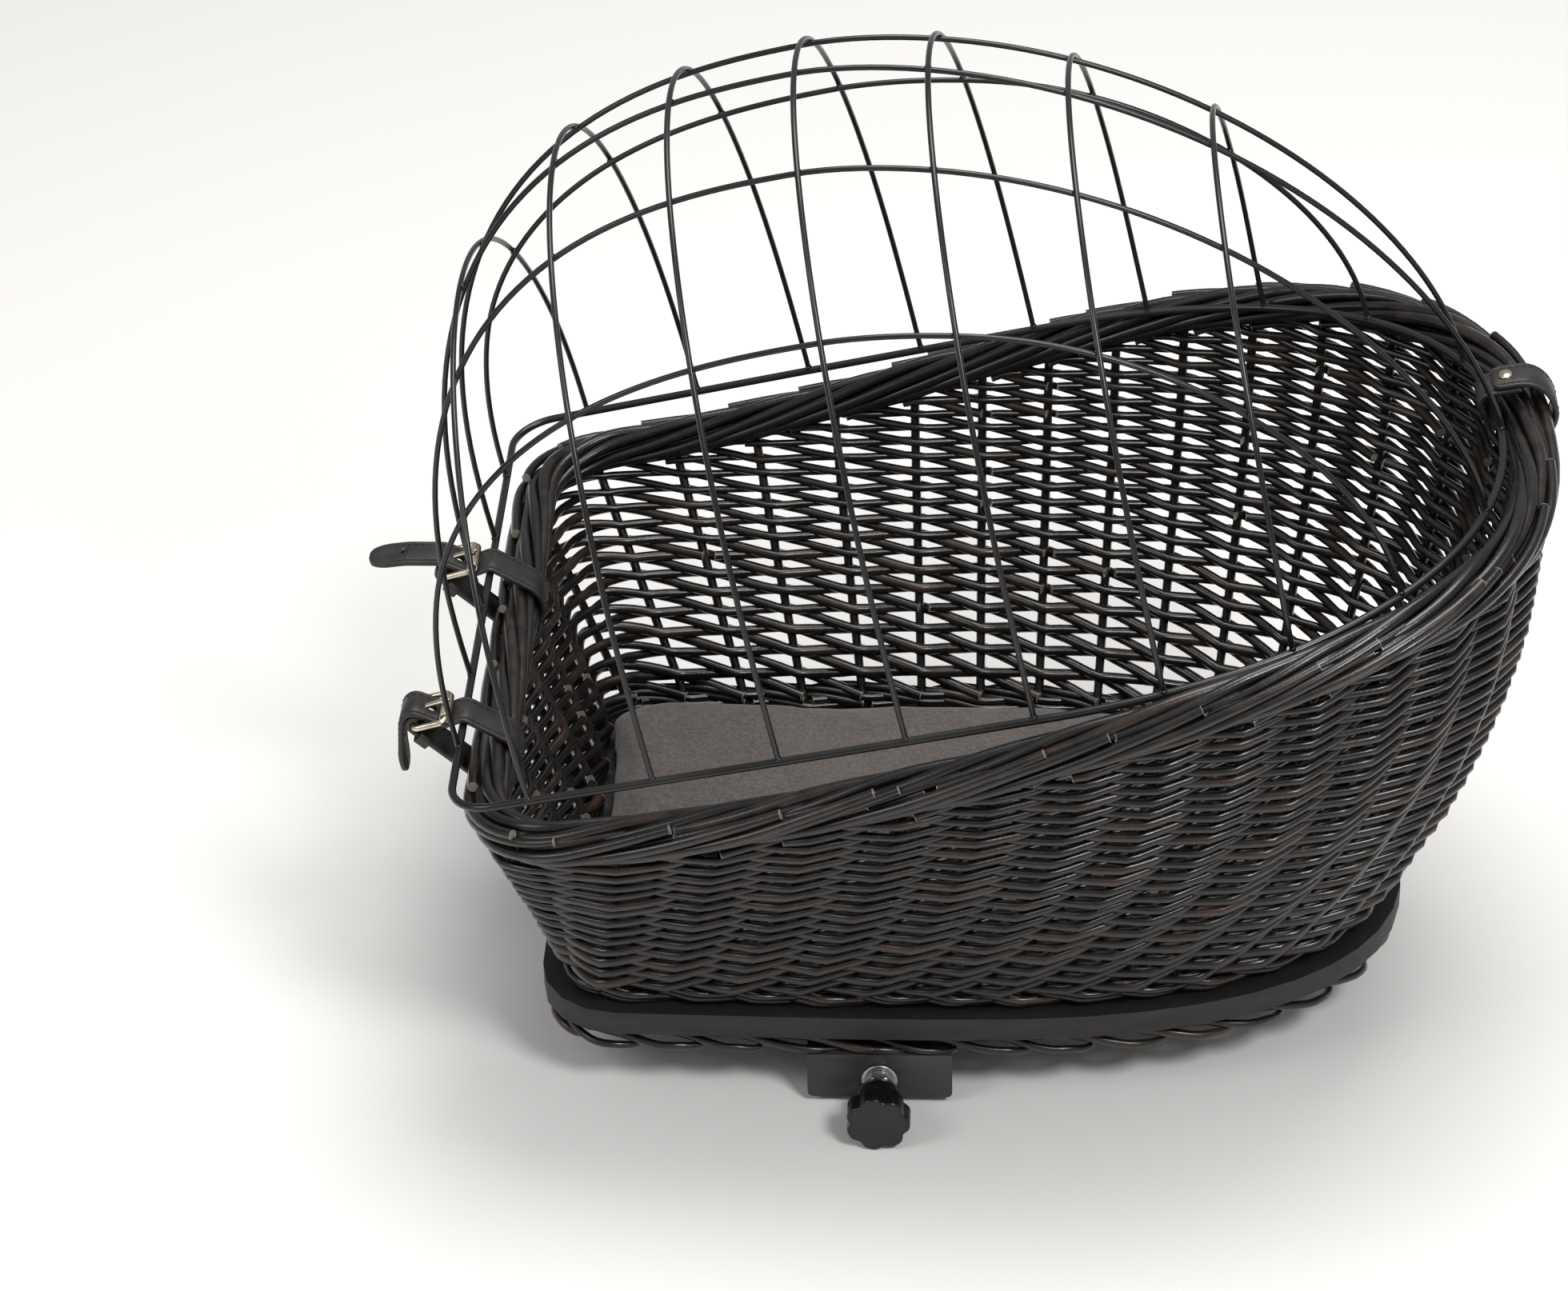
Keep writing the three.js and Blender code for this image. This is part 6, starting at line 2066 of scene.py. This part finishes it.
@dataclass
class Studio:
    """Pale floor, soft lights and the photograph's camera."""

    floor_half: float = 6.0
    camera_place: tuple[float, float, float] = (0.06169, -1.91857, 1.44991)
    yaw: float = -0.0582024
    pitch: float = 0.5934269
    roll: float = -0.0254394
    focal_pixels: float = 5776.614
    frame_pixels: float = 1960.0
    sensor: float = 36.0

    def place_camera(self) -> None:
        """Puts the camera where the photograph was taken from."""
        data = bpy.data.cameras.new("camera")
        data.sensor_width = self.sensor
        data.sensor_fit = "HORIZONTAL"
        data.lens = self.focal_pixels / self.frame_pixels * self.sensor
        data.clip_end = 100
        camera = piece_from("camera", data)
        ahead = Vector(
            (
                math.sin(self.yaw) * math.cos(self.pitch),
                math.cos(self.yaw) * math.cos(self.pitch),
                -math.sin(self.pitch),
            )
        )
        right = Vector((math.cos(self.yaw), -math.sin(self.yaw), 0.0))
        up = right.cross(ahead)
        level = right * math.cos(self.roll) + up * math.sin(self.roll)
        upright = up * math.cos(self.roll) - right * math.sin(self.roll)
        turned = Matrix((level, upright, -ahead)).transposed().to_4x4()
        camera.matrix_world = Matrix.Translation(self.camera_place) @ turned
        bpy.context.scene.camera = camera

    def place_floor(self, height: float) -> None:
        """Lays the floor.

        Args:
            height: the object's lowest point, in metres.
        """
        spots = [(-1, -1), (1, -1), (1, 1), (-1, 1)]
        mesh = bpy.data.meshes.new("floor")
        mesh.from_pydata([(x * self.floor_half, y * self.floor_half, height) for x, y in spots], [], [[0, 1, 2, 3]])
        material = bpy.data.materials.new("pale_floor")
        material.use_nodes = True
        shader = material.node_tree.nodes["Principled BSDF"]
        shader.inputs["Base Color"].default_value = linear("eceae7")
        shader.inputs["Roughness"].default_value = 0.8
        shader.inputs["Specular IOR Level"].default_value = 0.2
        piece_from("floor", mesh, material)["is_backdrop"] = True

    def place_lights(self) -> None:
        """Hangs a large soft light overhead and two smaller ones at the sides, and lights the room evenly."""
        world = bpy.context.scene.world or bpy.data.worlds.new("world")
        bpy.context.scene.world = world
        world.use_nodes = True
        ground = world.node_tree.nodes["Background"]
        ground.inputs["Color"].default_value = linear("f4f4f6")
        ground.inputs["Strength"].default_value = 0.4
        for name, spot, size, watts in (
            ("ceiling_softbox", (0.3, 0.4, 2.6), 1.5, 50.0),
            ("window", (-1.9, -1.2, 1.9), 1.0, 15.0),
            ("side_window", (1.1, -1.5, 2.1), 0.6, 34.0),
        ):
            data = bpy.data.lights.new(name, "AREA")
            data.energy = watts
            data.size = size
            lamp = piece_from(name, data)
            lamp.location = spot
            lamp.rotation_euler = (Vector((0.06, 0.0, 0.15)) - Vector(spot)).to_track_quat("-Z", "Y").to_euler()


def main() -> None:
    """Loads the frame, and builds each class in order."""
    logging.basicConfig(level=logging.INFO, format="%(name)s %(message)s")
    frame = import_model()
    cad_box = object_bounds()
    bpy.context.scene.view_settings.view_transform = "Standard"
    studio = Studio()
    studio.place_camera()
    basket = Basket()
    placed: list[bpy.types.Object] = []

    def put(pieces: Sequence[bpy.types.Object], body: str, slot: Slot, *nodes: str) -> None:
        """Makes pieces ride on a body, hides the nodes that they replace and reports them."""
        for piece in pieces:
            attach(piece, body)
            if nodes:
                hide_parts(*nodes)
            placed.append(piece)
            LOG.info("%s: %d faces on %s", piece.name, len(piece.data.polygons), body)

    put(Weave(basket).build(), "root", Slot.WILLOW, "side_weave")
    borders = Borders(basket)
    put(borders.top(), "root", Slot.WILLOW, "top_border")
    put(borders.foot(), "root", Slot.WILLOW, "foot_border")
    cage = Cage()
    wires = [f"cage_hoop_{i}" for i in range(1, 8)]
    wires += [f"cage_wire_{name}" for name in ("left_outer", "left_inner", "middle", "right_inner", "right_outer")]
    frame_wire, thin_wires, beads = cage.build()
    put([frame_wire], "cage", Slot.CAGE, "cage_frame")
    put([thin_wires, beads], "cage", Slot.CAGE, *wires)
    straps = FrontStraps(basket, cage)
    for side, y, hangs in straps.places:
        put(straps.strap(side, y, hangs), "root", Slot.LEATHER, f"front_strap_{side.label}")
        put([straps.keeper(side, y)], "root", Slot.LEATHER, f"front_keeper_{side.label}")
        frame_piece, roller, prong = straps.buckle(side, y)
        put([frame_piece], "root", Slot.NICKEL, f"front_buckle_{side.label}")
        put([roller], f"roller_{side.label}", Slot.NICKEL, f"front_roller_{side.label}")
        put([prong], f"prong_{side.label}", Slot.NICKEL, f"front_prong_{side.label}")
    strap, thread, rivet = RearStrap(basket, cage).build()
    put([strap, thread], "root", Slot.LEATHER, "rear_strap")
    put([rivet], "root", Slot.NICKEL, "rear_rivet")
    put([Cushion(basket).build()], "cushion", Slot.SUEDE, "cushion")
    base = Base()
    put([base.board()], "root", Slot.BOARD, "base_board")
    put([base.packing()], "root", Slot.BOARD, "packing_block")
    put([base.channel()], "root", Slot.CHANNEL, "rack_channel")
    for node, piece in base.fasteners():
        put([piece], "root", Slot.ZINC, node)
    for side in Side:
        clamp = Clamp(side)
        put([clamp.washer()], "root", Slot.ZINC, f"clamp_washer_{side.label}")
        put([clamp.nut()], "root", Slot.ZINC, f"clamp_nut_{side.label}")
        put([clamp.stud()], f"knob_{side.label}", Slot.ZINC, f"clamp_stud_{side.label}")
        put([clamp.knob()], f"knob_{side.label}", Slot.KNOB, f"clamp_knob_{side.label}")
        put([clamp.jaw()], f"jaw_{side.label}", Slot.CHANNEL, f"clamp_jaw_{side.label}")
    lowest = cad_box[0][2]
    studio.place_floor(lowest)
    studio.place_lights()


if __name__ == "__main__":
    main()
